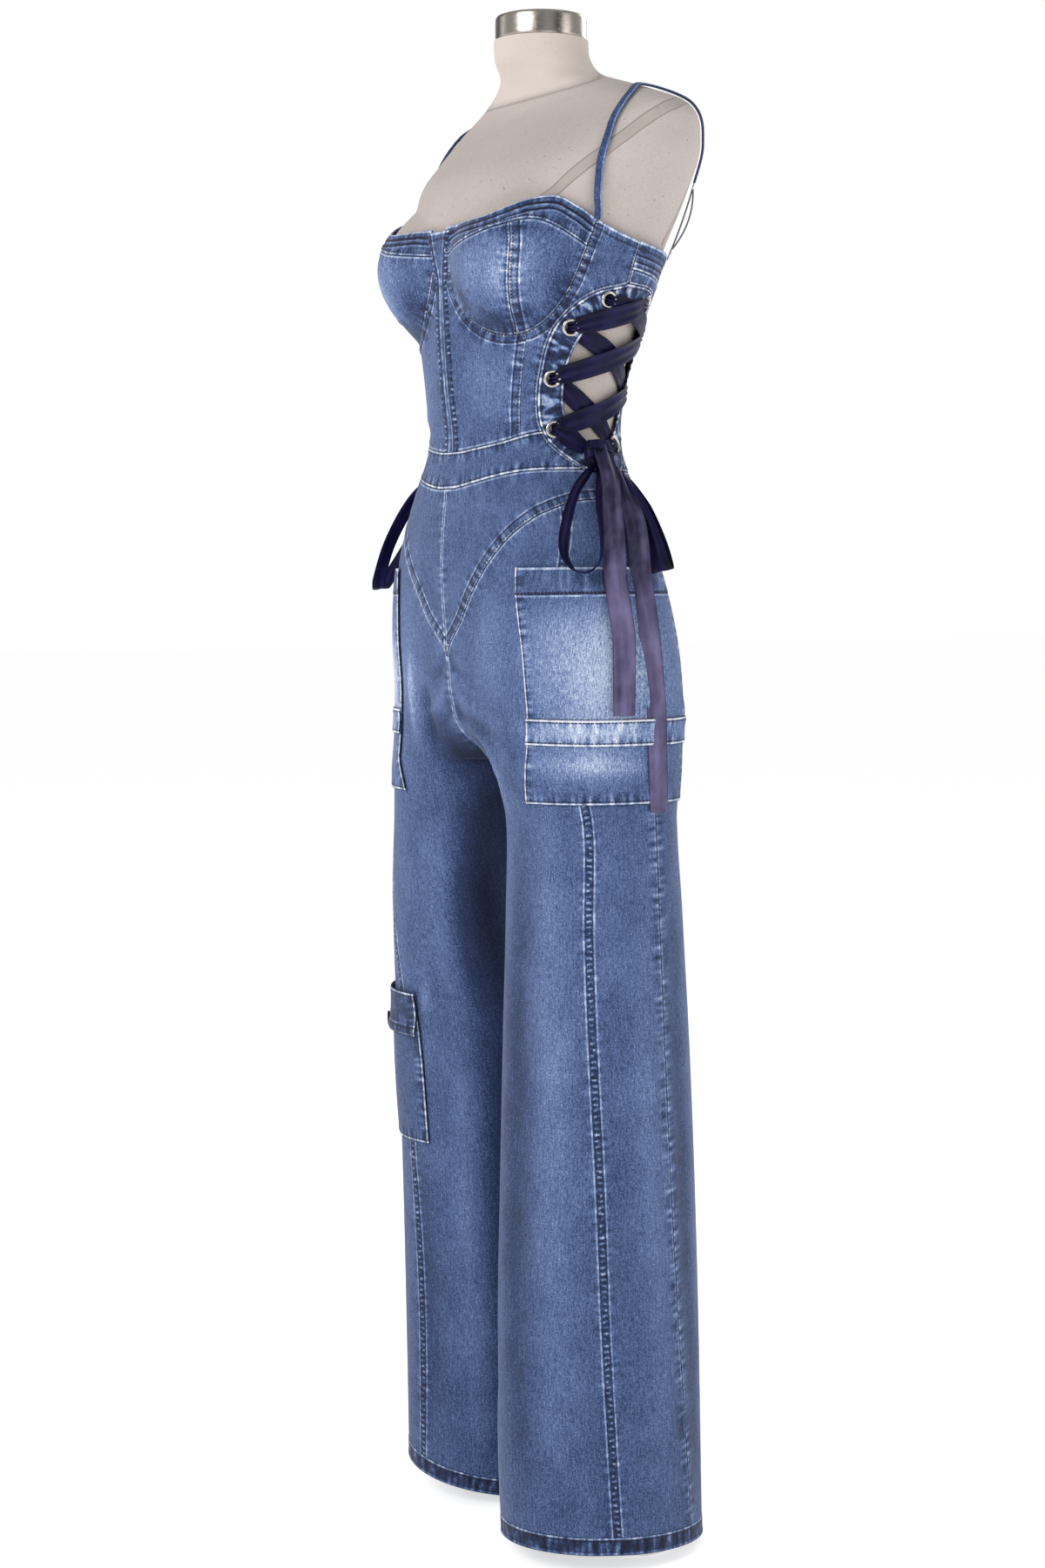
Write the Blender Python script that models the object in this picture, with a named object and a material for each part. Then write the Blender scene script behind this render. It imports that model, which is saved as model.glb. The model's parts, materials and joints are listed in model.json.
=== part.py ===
"""A denim jumpsuit with laced sides, worn by a limbless dress form.

Metres, +Z up.  The front faces -Y and the wearer's left side is +X.  Every cloth
piece is a thin wall laid on one of two surfaces: the torso, read by an angle round
the body and a height, and the trouser half, read by a fraction from the front or
inner seam round to the back seam and a height.
"""
import math

import bpy
import numpy as np

# Cloth and seams
WALL = 0.0012            # denim
SEAM = 0.0003            # gap between two pieces that are sewn together
LIFT = 0.0003            # gap under a piece that lies on another
TAPE_WALL = 0.0010       # ribbon
ARC = 0.0022             # mean length of one degree round the torso
FORM_GAP = 0.0031        # clearance between the dress form and the cloth

# Where the model stands: the foot discs reach FLOOR, and the box is centred
FLOOR = -0.0055
SHIFT = np.array([-0.00013, -0.01457, -FLOOR])

# Torso sections: height, half width, front, widest and back places along Y, squareness
TORSO = np.array([
    (0.740, 0.170, -0.079, 0.012, 0.108, 2.50),
    (0.790, 0.173, -0.083, 0.012, 0.104, 2.70),
    (0.860, 0.172, -0.090, 0.010, 0.095, 2.70),
    (0.930, 0.160, -0.094, 0.006, 0.084, 2.50),
    (0.990, 0.133, -0.090, 0.003, 0.077, 2.30),
    (1.040, 0.109, -0.083, 0.003, 0.072, 2.15),
    (1.090, 0.111, -0.088, 0.004, 0.078, 2.10),
    (1.140, 0.121, -0.092, 0.008, 0.092, 2.10),
    (1.190, 0.131, -0.094, 0.014, 0.109, 2.15),
    (1.240, 0.143, -0.096, 0.022, 0.127, 2.20),
    (1.285, 0.159, -0.079, 0.030, 0.138, 2.20),
    (1.320, 0.167, -0.044, 0.038, 0.142, 2.20),
    (1.350, 0.163, -0.013, 0.044, 0.128, 2.10),
    (1.370, 0.112, -0.008, 0.038, 0.096, 2.00),
    (1.388, 0.060, -0.015, 0.027, 0.074, 2.00),
    (1.405, 0.047, -0.027, 0.018, 0.063, 2.00),
    (1.423, 0.045, -0.029, 0.016, 0.061, 2.00),
])

# Trouser leg sections: height, middle X, middle Y (left leg, right leg), half width,
# half depth, turn of the right leg's cloth about its own middle in degrees
LEG = np.array([
    (0.000, 0.106, 0.018, 0.040, 0.084, 0.099, -74.0),
    (0.200, 0.103, 0.014, 0.034, 0.084, 0.098, -70.0),
    (0.360, 0.101, 0.013, 0.023, 0.084, 0.092, -60.0),
    (0.490, 0.098, 0.013, 0.010, 0.084, 0.086, -50.0),
    (0.600, 0.095, 0.013, 0.000, 0.084, 0.080, -25.0),
    (0.690, 0.091, 0.013, -0.003, 0.084, 0.077, -8.0),
    (0.742, 0.0875, 0.012, 0.000, 0.084, 0.088, 0.0),
])
CROTCH = 0.742           # where the two legs part
RISE = 0.800             # where the section starts to divide
LEFT, RIGHT = 1, -1

# Hem: mean height, swing and the angle of its highest point, for each leg
HEM_LINE = {LEFT: (0.006, 0.008, 30.0), RIGHT: (0.012, 0.016, 60.0)}
HEM_DEEP = 0.017

# Bust, as a rounded rise of the torso on each side
BUST_ANGLE, BUST_SPREAD = 41.0, 36.0
BUST_Z, BUST_LOW, BUST_HIGH = 1.203, 0.064, 0.066
BUST_DEEP, BUST_ROUND, BUST_TURN = 0.036, 1.2, math.radians(14.0)

# Cup outline: a half ellipse below, the neckline band's lower edge above
CUP_ANGLE, CUP_Z, CUP_DEEP = 40.0, 1.2165, 0.079
CUP_IN, CUP_OUT = 35.5, 33.5
CUP_SEAM = (43.0, 50.0)              # angle at the bottom and at the top of the cup's own seam
BAND_LOW = ((4.6, 1.2150), (25.0, 1.2215), (41.0, 1.2310), (53.0, 1.2370), (63.0, 1.2300), (73.4, 1.2155))
NECK_TOP = ((0.0, 1.2360), (6.0, 1.2400), (32.0, 1.2420), (46.0, 1.2560), (55.0, 1.2585), (65.0, 1.2500),
            (74.0, 1.2400), (84.0, 1.2310), (97.0, 1.2230), (136.0, 1.2160), (180.0, 1.2110))
STRIP = ((1.033, 1.9), (1.190, 1.7), (1.2165, 3.0), (1.238, 3.8))    # height, half angle
PRINCESS = ((1.048, 46.0), (1.139, 49.0))                            # height, angle
SIDE_ANGLE = 97.0                    # the bodice's side seam
BACK_BAND = ((97.0, 1.1975), (136.0, 1.1900), (180.0, 1.1820))

# Waistband edges: angle, height
WAIST_TOP = ((0.0, 1.0330), (8.0, 1.0335), (33.0, 1.0400), (57.0, 1.0490), (110.0, 1.0490), (180.0, 1.0490))
WAIST_LOW = ((0.0, 0.9980), (6.0, 0.9985), (38.0, 1.0100), (60.0, 1.0130), (110.0, 1.0130), (180.0, 1.0130))

# Side lacing: the facing's outlines from its foot up over the front and over the back
LACE_FOOT = 97.0
FRONT_OUTER = ((LACE_FOOT, 1.0132), (90.0, 1.0132), (82.0, 1.0142), (74.0, 1.0215), (62.0, 1.0400), (57.0, 1.0600), (57.0, 1.1000),
               (62.0, 1.1430), (77.0, 1.1720), (SIDE_ANGLE, 1.1848))
FRONT_INNER = ((LACE_FOOT, 1.0370), (89.0, 1.0375), (82.0, 1.0410), (75.0, 1.0540), (71.0, 1.0770), (72.0, 1.1120),
               (77.0, 1.1360), (86.0, 1.1520), (SIDE_ANGLE, 1.1590))
BACK_OUTER = ((LACE_FOOT, 1.0132), (104.0, 1.0132), (111.0, 1.0142), (118.0, 1.0220), (130.0, 1.0480), (141.0, 1.0800), (151.0, 1.1280),
              (147.0, 1.1650), (124.0, 1.1812), (SIDE_ANGLE, 1.1848))
BACK_INNER = ((LACE_FOOT, 1.0370), (102.0, 1.0380), (107.0, 1.0430), (115.0, 1.0580), (126.0, 1.0880), (135.0, 1.1240),
              (132.0, 1.1460), (116.0, 1.1580), (SIDE_ANGLE, 1.1590))
FRONT_EYELETS = ((66.0, 1.0510), (64.0, 1.0970), (70.5, 1.1430), (88.0, 1.1690))
BACK_EYELETS = ((111.0, 1.0390), (131.5, 1.0900), (142.0, 1.1420), (122.0, 1.1700))
EYELET_HOLE = 0.0056

# Yoke seam: fraction round the half, height
YOKE = ((0.0, 0.8390), (0.090, 0.8730), (0.118, 0.9030), (0.147, 0.9290), (0.186, 0.9490), (0.240, 0.9640),
        (0.306, 0.9750), (0.417, 0.9850), (0.530, 0.9860))

# Long seams of a leg: height, fraction of the front ladder seam, fraction of the outseam
LEG_SEAMS = ((0.000, 0.442, 0.590), (0.330, 0.419, 0.550), (0.580, 0.394, 0.534), (0.700, 0.392, 0.530),
             (0.800, 0.375, 0.524), (0.860, 0.356, 0.522), (0.925, 0.343, 0.523), (0.976, 0.363, 0.525))

# Hip pocket: its lower and upper edge, its front edge (a line that the front panel's columns follow from
# the hem up: height, fraction) and the fraction of its back edge
HIP_LOW, HIP_TOP, HIP_BACK = 0.708, 0.924, 0.625
HIP_FRONT = ((0.000, 0.276), (0.330, 0.262), (0.580, 0.262), (0.708, 0.278), (0.745, 0.292), (0.800, 0.291),
             (0.850, 0.276), (0.924, 0.226), (0.985, 0.222))
HIP_BAND = (0.762, 0.787)

# Flap pocket on the right leg: fractions of its sides, heights
CARGO_SIDES = (0.356, 0.606)
CARGO_LOW, CARGO_TOP = 0.358, 0.492
FLAP_LOW, FLAP_TOP = 0.466, 0.508


def hermite(table, height):
    """Read a table by its first column with a smooth cubic through its rows."""
    height = np.asarray(height, dtype=float)
    keys, values = table[:, 0], table[:, 1:]
    slope = np.empty_like(values)
    slope[1:-1] = (values[2:] - values[:-2]) / (keys[2:] - keys[:-2])[:, None]
    slope[0] = (values[1] - values[0]) / (keys[1] - keys[0])
    slope[-1] = (values[-1] - values[-2]) / (keys[-1] - keys[-2])
    row = np.clip(np.searchsorted(keys, height) - 1, 0, len(keys) - 2)
    span = keys[row + 1] - keys[row]
    t = np.clip((height - keys[row]) / span, 0.0, 1.0)[..., None]
    span = span[..., None]
    return ((2 * t**3 - 3 * t**2 + 1) * values[row] + (t**3 - 2 * t**2 + t) * span * slope[row]
            + (3 * t**2 - 2 * t**3) * values[row + 1] + (t**3 - t**2) * span * slope[row + 1])


def level(pairs, key):
    """Read a short table of pairs smoothly."""
    return hermite(np.array(pairs), key)[..., 0]


def bust(angle, height):
    """Rise of the bust over the plain section, as a vector."""
    side = np.where(angle >= 0.0, 1.0, -1.0)
    reach = np.where(height < BUST_Z, BUST_LOW, BUST_HIGH)
    r2 = ((abs(angle) - BUST_ANGLE) / BUST_SPREAD)**2 + ((height - BUST_Z) / reach)**2
    rise = BUST_DEEP * np.clip(1.0 - r2, 0.0, None)**BUST_ROUND
    return np.stack([side * rise * math.sin(BUST_TURN), -rise * math.cos(BUST_TURN), 0.0 * rise], -1)


def torso(angle, height):
    """Point of the cloth's inner face; angle 0 is the front, +90 the wearer's left."""
    angle, height = np.broadcast_arrays(np.asarray(angle, float), np.asarray(height, float))
    wide, front, side, back, square = np.moveaxis(hermite(TORSO, height), -1, 0)
    s, c = np.sin(np.radians(angle)), np.cos(np.radians(angle))
    deep = np.where(c > 0.0, side - front, back - side)
    power = 2.0 / square
    x = wide * np.sign(s) * abs(s)**power
    y = side - deep * np.sign(c) * abs(c)**power
    return np.stack([x, y, height + 0.0 * x], -1) + bust(angle, height)


def leg_ring(fraction, height, side):
    """Point of one trouser leg's ring, on the left whichever leg it is."""
    mid, left_y, right_y, wide, deep, turn = np.moveaxis(hermite(LEG, height), -1, 0)
    turn = turn if side == RIGHT else 0.0 * turn
    angle = np.radians(-90.0 + 360.0 * fraction + turn)
    middle = left_y if side == LEFT else right_y
    return np.stack([mid + wide * np.sin(angle), middle - deep * np.cos(angle), height + 0.0 * angle], -1)


def ease(value, low, high):
    """Smooth step from 0 at low to 1 at high."""
    t = np.clip((value - low) / (high - low), 0.0, 1.0)
    return t * t * (3.0 - 2.0 * t)


def half(fraction, height, side):
    """Point of the trouser half: 0 front or inner seam, 1 back or inner seam.

    High up the fraction is the angle round the torso; lower down more of the cloth
    turns into the fork, so that the columns run straight on into the leg.
    """
    fraction, height = np.broadcast_arrays(np.asarray(fraction, float), np.asarray(height, float))
    around = np.sin(np.pi * fraction)
    bend = 2.5 - 1.5 * ease(height, RISE, 0.970)
    angle = np.degrees(np.arcsin(np.clip(around, 0.0, 1.0)**bend))
    angle = np.where(fraction <= 0.5, angle, 180.0 - angle)
    drop = np.clip((RISE - height) / (RISE - CROTCH), 0.0, 1.0)
    outside = ease(around * 1.25 - 0.1, 0.0, 1.0)
    blend = ((1.0 - outside) * (1.0 - np.sqrt(1.0 - drop**2)) + outside * ease(-height, -0.840, -0.680))[..., None]
    upper = torso(angle, np.maximum(height, CROTCH))
    lower = leg_ring(fraction, np.minimum(height, CROTCH), side)
    point = (1.0 - blend) * upper + blend * lower
    point[..., 2] = height
    return point


def hem_height(fraction, side):
    """Height of the hem's lower edge round a leg."""
    mean, swing, high = HEM_LINE[side]
    turn = LEG[0, 6] if side == RIGHT else 0.0
    return mean + swing * np.cos(np.radians(-90.0 + 360.0 * fraction + turn - high))


def curve(points, count):
    """Smooth polyline through flat points (angle, height), evenly spaced by length."""
    points = np.array(points, dtype=float)
    scale = np.array([ARC, 1.0])
    length = np.concatenate([[0.0], np.cumsum(np.linalg.norm(np.diff(points * scale, axis=0), axis=1))])
    table = np.column_stack([length, points])
    fine = hermite(table, np.linspace(0.0, length[-1], 400))
    run = np.concatenate([[0.0], np.cumsum(np.linalg.norm(np.diff(fine * scale, axis=0), axis=1))])
    want = np.linspace(0.0, run[-1], count)
    return np.column_stack([np.interp(want, run, fine[:, i]) for i in range(2)])


def coons(low, high, left, right):
    """Fill four edges: low and high run along columns, left and right along rows."""
    u = np.linspace(0.0, 1.0, len(low))[None, :, None]
    v = np.linspace(0.0, 1.0, len(left))[:, None, None]
    sides = (1 - u) * left[:, None] + u * right[:, None]
    ends = (1 - v) * low[None] + v * high[None]
    corners = ((1 - u) * (1 - v) * low[0] + u * (1 - v) * low[-1] + (1 - u) * v * high[0] + u * v * high[-1])
    return sides + ends - corners


def resample(line, count, keep):
    """A polyline with more or fewer points: the corner at index keep stays a point."""
    share = max(1, round((count - 1) * keep / (len(line) - 1)))
    steps = np.concatenate([np.linspace(0, keep, share + 1), np.linspace(keep, len(line) - 1, count - share)[1:]])
    return np.column_stack([np.interp(steps, np.arange(len(line)), line[:, i]) for i in range(2)])


def ruled(left, right, columns):
    """Straight rows between two edges."""
    u = np.linspace(0.0, 1.0, columns)[None, :, None]
    return (1 - u) * left[:, None] + u * right[:, None]


def on_torso(flat):
    """Place a grid of (angle, height) on the torso."""
    return torso(flat[..., 0], flat[..., 1])


# ---------------------------------------------------------------- solids

def finish(name, colour, roughness=0.85, metallic=0.0):
    """A plain material."""
    material = bpy.data.materials.new(name)
    material.use_nodes = True
    shader = material.node_tree.nodes["Principled BSDF"]
    shader.inputs["Base Color"].default_value = (*colour, 1.0)
    shader.inputs["Roughness"].default_value = roughness
    shader.inputs["Metallic"].default_value = metallic
    return material


def add_object(name, points, faces, material):
    """Make one named mesh object facing out, moved to stand on the floor."""
    points = np.asarray(points) + SHIFT
    volume = sum(np.dot(points[face[0]], np.cross(points[face[i]], points[face[i + 1]]))
                 for face in faces for i in range(1, len(face) - 1))
    mesh = bpy.data.meshes.new(name)
    mesh.from_pydata(points.tolist(), [], [list(map(int, face))[::1 if volume > 0.0 else -1] for face in faces])
    mesh.materials.append(material)
    mesh.shade_smooth()
    mesh.set_sharp_from_angle(angle=math.radians(40.0))
    mesh.update()
    thing = bpy.data.objects.new(name, mesh)
    bpy.context.collection.objects.link(thing)
    return thing


def normals(grid, closed=False):
    """Unit normals of a grid whose columns run to the wearer's left and rows run up."""
    if closed:
        across = np.roll(grid, -1, axis=1) - np.roll(grid, 1, axis=1)
    else:
        across = np.gradient(grid, axis=1)
    n = np.cross(across, np.gradient(grid, axis=0))
    return n / np.linalg.norm(n, axis=-1, keepdims=True)


def pull_in(grid, low=SEAM / 2, high=SEAM / 2, left=SEAM / 2, right=SEAM / 2, closed=False):
    """Draw a grid's edges back along its own rows and columns, to leave the seam gap."""
    grid = grid.copy()

    def toward(edge, inner, distance):
        step = inner - edge
        return edge + step / np.linalg.norm(step, axis=-1, keepdims=True) * distance

    if not closed:
        grid[:, 0] = toward(grid[:, 0], grid[:, 1], left)
        grid[:, -1] = toward(grid[:, -1], grid[:, -2], right)
    grid[0] = toward(grid[0], grid[1], low)
    grid[-1] = toward(grid[-1], grid[-2], high)
    return grid


def mirrored(grid):
    """The same grid on the other side of the body."""
    return grid[:, ::-1] * np.array([-1.0, 1.0, 1.0])


def wall(name, grid, material, lift=0.0, thick=WALL, closed=False, keep_side=0):
    """A closed wall over a grid of points, from lift to lift + thick along the normals."""
    n = normals(grid, closed)
    inner, outer = grid + n * lift, grid + n * (lift + thick)
    if keep_side:
        for layer in (inner, outer):
            layer[..., 0] = keep_side * np.maximum(keep_side * layer[..., 0], SEAM / 2)
    rows, columns = grid.shape[:2]
    points = np.concatenate([inner.reshape(-1, 3), outer.reshape(-1, 3)])
    size = rows * columns
    wrap = columns if closed else columns - 1
    faces = []

    def at(row, column):
        return row * columns + column % columns

    for row in range(rows - 1):
        for column in range(wrap):
            a, b = at(row, column), at(row, column + 1)
            c, d = at(row + 1, column + 1), at(row + 1, column)
            faces += [(a + size, b + size, c + size), (a + size, c + size, d + size), (a, c, b), (a, d, c)]
    for column in range(wrap):
        for row, turn in ((0, 1), (rows - 1, -1)):
            a, b = at(row, column), at(row, column + 1)
            faces += [(a, b, b + size)[::turn], (a, b + size, a + size)[::turn]]
    if not closed:
        for row in range(rows - 1):
            for column, turn in ((0, -1), (columns - 1, 1)):
                a, b = at(row, column), at(row + 1, column)
                faces += [(a, b, b + size)[::turn], (a, b + size, a + size)[::turn]]
    return add_object(name, points, faces, material)


def pair(name, grid, material, **options):
    """The left piece and its mirror."""
    return [wall(f"{name}_left", grid, material, **options), wall(f"{name}_right", mirrored(grid), material, **options)]


def tube(name, sections, material):
    """A closed solid through rings of points that all have the same count."""
    sections = np.asarray(sections)
    rings, count = sections.shape[:2]
    points = sections.reshape(-1, 3)
    faces = [tuple(range(count))[::-1], tuple(range((rings - 1) * count, rings * count))]
    for ring in range(rings - 1):
        for i in range(count):
            j = (i + 1) % count
            a, b = ring * count + i, ring * count + j
            faces.append((a, b, b + count, a + count))
    return add_object(name, points, faces, material)


def strip(name, path, across, face, width, thick, material):
    """A flat band along a path; width may vary, and thick is laid outwards from the path."""
    path, across, face = (np.asarray(v, float) for v in (path, across, face))
    half_width = np.broadcast_to(np.asarray(width, float) / 2, (len(path),))[:, None]
    corners = [path - across * half_width, path + across * half_width,
               path + across * half_width + face * thick, path - across * half_width + face * thick]
    return tube(name, np.stack(corners, axis=1), material)


# ---------------------------------------------------------------- dress form and stand

FORM_BOTTOM, FORM_TOP = 0.800, 1.4227
CAP_LOW, CAP_TOP, CAP_RADIUS, NECK_Y = 1.4230, 1.4455, 0.0435, 0.016
ROD_X, ROD_Y, ROD_RADIUS = 0.108, 0.028, 0.011
FOOT_X, FOOT_Y, FOOT_RADIUS, FOOT_THICK = 0.126, 0.042, 0.036, 0.007     # the foot stands off to the back of its rod
FORM_ROWS = (0.800, 0.840, 0.880, 0.912, 0.940, 0.966, 0.990, 1.010, 1.025, 1.036, 1.048, 1.062, 1.080, 1.098,
             1.114, 1.128, 1.140, 1.152, 1.166, 1.181, 1.196, 1.211, 1.226, 1.240, 1.254, 1.270, 1.290, 1.312,
             1.332, 1.348, 1.360, 1.370, 1.379, 1.390, 1.405, FORM_TOP)


def form_gap(height):
    """Clearance under the cloth: more under the cups, none above the neckline."""
    return np.interp(height, (1.07, 1.12, 1.23, 1.25, 1.30), (FORM_GAP, FORM_GAP * 1.55, FORM_GAP * 1.55, FORM_GAP, 0.0))


def turned(profile, middle, sides):
    """Rings of a turned piece: profile rows are radius and height."""
    angle = np.linspace(0.0, 2.0 * math.pi, sides, endpoint=False)
    ring = np.column_stack([np.cos(angle), np.sin(angle), 0.0 * angle])
    return [ring * radius + np.array([middle[0], middle[1], height]) for radius, height in profile]


def build_form(linen, steel, paint):
    """Covered torso, neck cap, and a rod with a round foot inside each leg."""
    angles = np.linspace(-180.0, 180.0, 36, endpoint=False)
    heights = np.array(FORM_ROWS)[:, None]
    grid = torso(angles[None, :], heights)
    n = normals(grid, closed=True)
    n[..., 2] = 0.0
    grid = grid - n * form_gap(heights)[..., None]
    tube("form_torso", grid, linen)
    cap = ((CAP_RADIUS - 0.001, CAP_LOW), (CAP_RADIUS, CAP_LOW + 0.001), (CAP_RADIUS, CAP_TOP - 0.002),
           (CAP_RADIUS - 0.002, CAP_TOP))
    tube("form_neck_cap", turned(cap, (0.0, NECK_Y), 24), steel)
    foot = ((FOOT_RADIUS, FLOOR), (FOOT_RADIUS, FLOOR + FOOT_THICK * 0.7), (FOOT_RADIUS - 0.002, FLOOR + FOOT_THICK))
    rod = ((ROD_RADIUS, FLOOR + FOOT_THICK + 0.001), (ROD_RADIUS, FORM_BOTTOM - SEAM))
    for name, side in (("left", LEFT), ("right", RIGHT)):
        rings = turned(foot, (side * FOOT_X, FOOT_Y), 20) + turned(rod, (side * ROD_X, ROD_Y), 20)
        tube(f"form_stand_{name}", rings, paint)


# ---------------------------------------------------------------- bodice

def cup_outline(start, stop, count):
    """The cup's lower outline: 0 at the inner corner, 1 at the outer one."""
    turn = math.pi * np.linspace(start, stop, count)
    wide = np.where(np.cos(turn) > 0.0, CUP_IN, CUP_OUT)
    return np.column_stack([CUP_ANGLE - wide * np.cos(turn), CUP_Z - CUP_DEEP * np.sin(turn)])


def outline_at(angle):
    """Place along the cup's lower outline of an angle on its outer half."""
    return math.acos((CUP_ANGLE - angle) / CUP_OUT) / math.pi


def edge(pairs, start, stop, count):
    """Points of an edge that a table gives as angle and height."""
    angle = np.linspace(start, stop, count)
    return np.column_stack([angle, level(pairs, angle)])


def band_edge(pairs, first, last):
    """Part of an edge of the neckline band, at the angles where its columns stand."""
    angle = np.array(BAND_ANGLES[first:last])
    return np.column_stack([angle, level(pairs, angle)])


def between(start, stop, count):
    """Points on a straight edge."""
    return np.linspace(np.array(start, float), np.array(stop, float), count)


OUTLINE_POINTS = 15
BAND_ANGLES = (3.2, 12.5, 22.0, 31.5, 41.0, 50.0, 56.0, 62.0, 68.0, 73.4)


# Back panel: height at the lacing facing's outline and at the centre back
BACK_RISE = ((1.0490, 1.0490), (1.1650, 1.1670), (1.1800, 1.1760), (1.1851, 1.1808), (1.1975, 1.1820))


def outline(outer, inner):
    """A facing's outer edge moved off by a seam's gap, for the pieces that are sewn to it."""
    line = curve(outer, OUTLINE_POINTS)
    away = (line - curve(inner, OUTLINE_POINTS)) * np.array([ARC, 1.0])
    away /= np.linalg.norm(away, axis=1, keepdims=True)
    return line + away / np.array([ARC, 1.0]) * SEAM


def waist_steps(outer, inner):
    """Where the facing's outline runs beside the waistband: angle and depth from its lower edge."""
    line = outline(outer, inner)
    low, top = level(WAIST_LOW, line[:, 0]), level(WAIST_TOP, line[:, 0])
    depth = (line[:, 1] - low) / (top - low)
    first = int(np.argmax(depth > 0.06))
    last = int(np.argmax(depth > 1.0))
    share = (1.0 - depth[last - 1]) / (depth[last] - depth[last - 1])
    corner = line[last - 1] + (line[last] - line[last - 1]) * share
    steps = [(line[first - 1, 0], 0.0)] + [(line[i, 0], depth[i]) for i in range(first, last)]
    return np.array(steps + [(corner[0], 1.0)]), corner, last


def outline_from_waist(outer, inner):
    """The facing's outline from the waistband's top edge to its head."""
    _, corner, last = waist_steps(outer, inner)
    return np.vstack([corner, outline(outer, inner)[last:]])


def build_cups(denim):
    """Two halves of each cup, joined by its own seam."""
    foot, head = CUP_SEAM
    seam = between((foot, cup_outline(outline_at(foot), 1.0, 2)[0][1]), (head, level(BAND_LOW, head)), 6)
    split_in, split_out, joint = 0.22, 0.84, outline_at(foot)
    top_in, top_out = band_edge(BAND_LOW, 0, 6), band_edge(BAND_LOW, 5, 10)
    inner = coons(cup_outline(split_in, joint, 6), top_in,
                  cup_outline(split_in, 0.02, 6), seam)
    outer = coons(cup_outline(joint, split_out, 5), top_out,
                  seam, cup_outline(split_out, 0.985, 6))
    crease = 0.0010
    pair("cup_inner", pull_in(on_torso(inner), low=crease, left=crease), denim)
    pair("cup_outer", pull_in(on_torso(outer), low=crease, right=crease), denim)


def build_bodice(denim):
    """Bands, strip and panels round the torso."""
    crease = 0.0009
    low = band_edge(BAND_LOW, 0, 10)
    top = edge(NECK_TOP, 4.0, 74.0, 10)
    band = coons(low, top, between(low[0], top[0], 3), between(low[-1], top[-1], 3))
    pair("neck_band", pull_in(on_torso(band)), denim)

    heights = np.array([1.0330, 1.060, 1.087, 1.113, 1.139, 1.163, 1.183, 1.2000, 1.2165, 1.2365])
    spread = level(STRIP, heights)[:, None] * np.array([-1.0, 0.0, 1.0])[None, :]
    strip_flat = np.stack([spread, heights[:, None] + 0.0 * spread], -1)
    wall("centre_strip", pull_in(on_torso(strip_flat)), denim)

    corner = (level(STRIP, 1.199), 1.199)
    top = np.vstack([corner, cup_outline(0.072, outline_at(PRINCESS[1][1]), 8)])
    low = np.vstack([edge(WAIST_TOP, level(STRIP, 1.033), 4.2, 2)[:1], edge(WAIST_TOP, 4.2, PRINCESS[0][1], 8)])
    low[0, 0] = float(level(STRIP, 1.033))
    left = between(low[0], corner, 8)
    left[:, 0] = level(STRIP, left[:, 1])
    right = between(low[-1], top[-1], 8)
    pair("front_panel", pull_in(on_torso(coons(low, top, left, right)), high=crease), denim)

    left = np.vstack([between(right[0], right[-1], 5), cup_outline(outline_at(PRINCESS[1][1]), 0.985, 6)[1:],
                      between((73.4, 1.2155), (74.0, 1.2400), 2)])
    right = np.vstack([outline_from_waist(FRONT_OUTER, FRONT_INNER), between((SIDE_ANGLE, 1.199), (SIDE_ANGLE, 1.2230), 2)])
    left = resample(left, len(right), 4)
    panel = coons(edge(WAIST_TOP, left[0][0], right[0][0], 4), edge(NECK_TOP, 74.0, SIDE_ANGLE, 4), left, right)
    pair("side_front", pull_in(on_torso(panel), left=crease), denim)

    left = np.vstack([outline_from_waist(BACK_OUTER, BACK_INNER), [(SIDE_ANGLE, BACK_BAND[0][1])]])
    centre = np.column_stack([0.0 * left[:, 0] + 180.0, np.interp(left[:, 1], *zip(*BACK_RISE))])
    panel = coons(edge(WAIST_TOP, left[0][0], 180.0, 7), edge(BACK_BAND, SIDE_ANGLE, 180.0, 7), left, centre)
    pair("back_panel", pull_in(on_torso(panel)), denim)

    angles = np.linspace(SIDE_ANGLE, 360.0 - SIDE_ANGLE, 19)
    folded = 180.0 - abs(angles - 180.0)
    low = np.column_stack([angles, level(BACK_BAND, folded)])
    top = np.column_stack([angles, level(NECK_TOP, folded)])
    band = coons(low, top, between(low[0], top[0], 3), between(low[-1], top[-1], 3))
    wall("back_band", pull_in(on_torso(band)), denim)


def build_waistband(denim):
    """Front and back waistband, cut away at each side for the lacing facing."""
    for name, outer, inner, middle, columns in (("waistband_front", FRONT_OUTER, FRONT_INNER, 0.0, 17),
                                                ("waistband_back", BACK_OUTER, BACK_INNER, 180.0, 15)):
        rows = []
        for reach, depth in waist_steps(outer, inner)[0]:
            angles = middle + abs(reach - middle) * np.linspace(-1.0, 1.0, columns)
            folded = 180.0 - abs(180.0 - abs(angles))
            low, top = level(WAIST_LOW, folded), level(WAIST_TOP, folded)
            rows.append(np.column_stack([angles, low + (top - low) * depth]))
        wall(name, pull_in(on_torso(np.array(rows))), denim)


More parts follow.
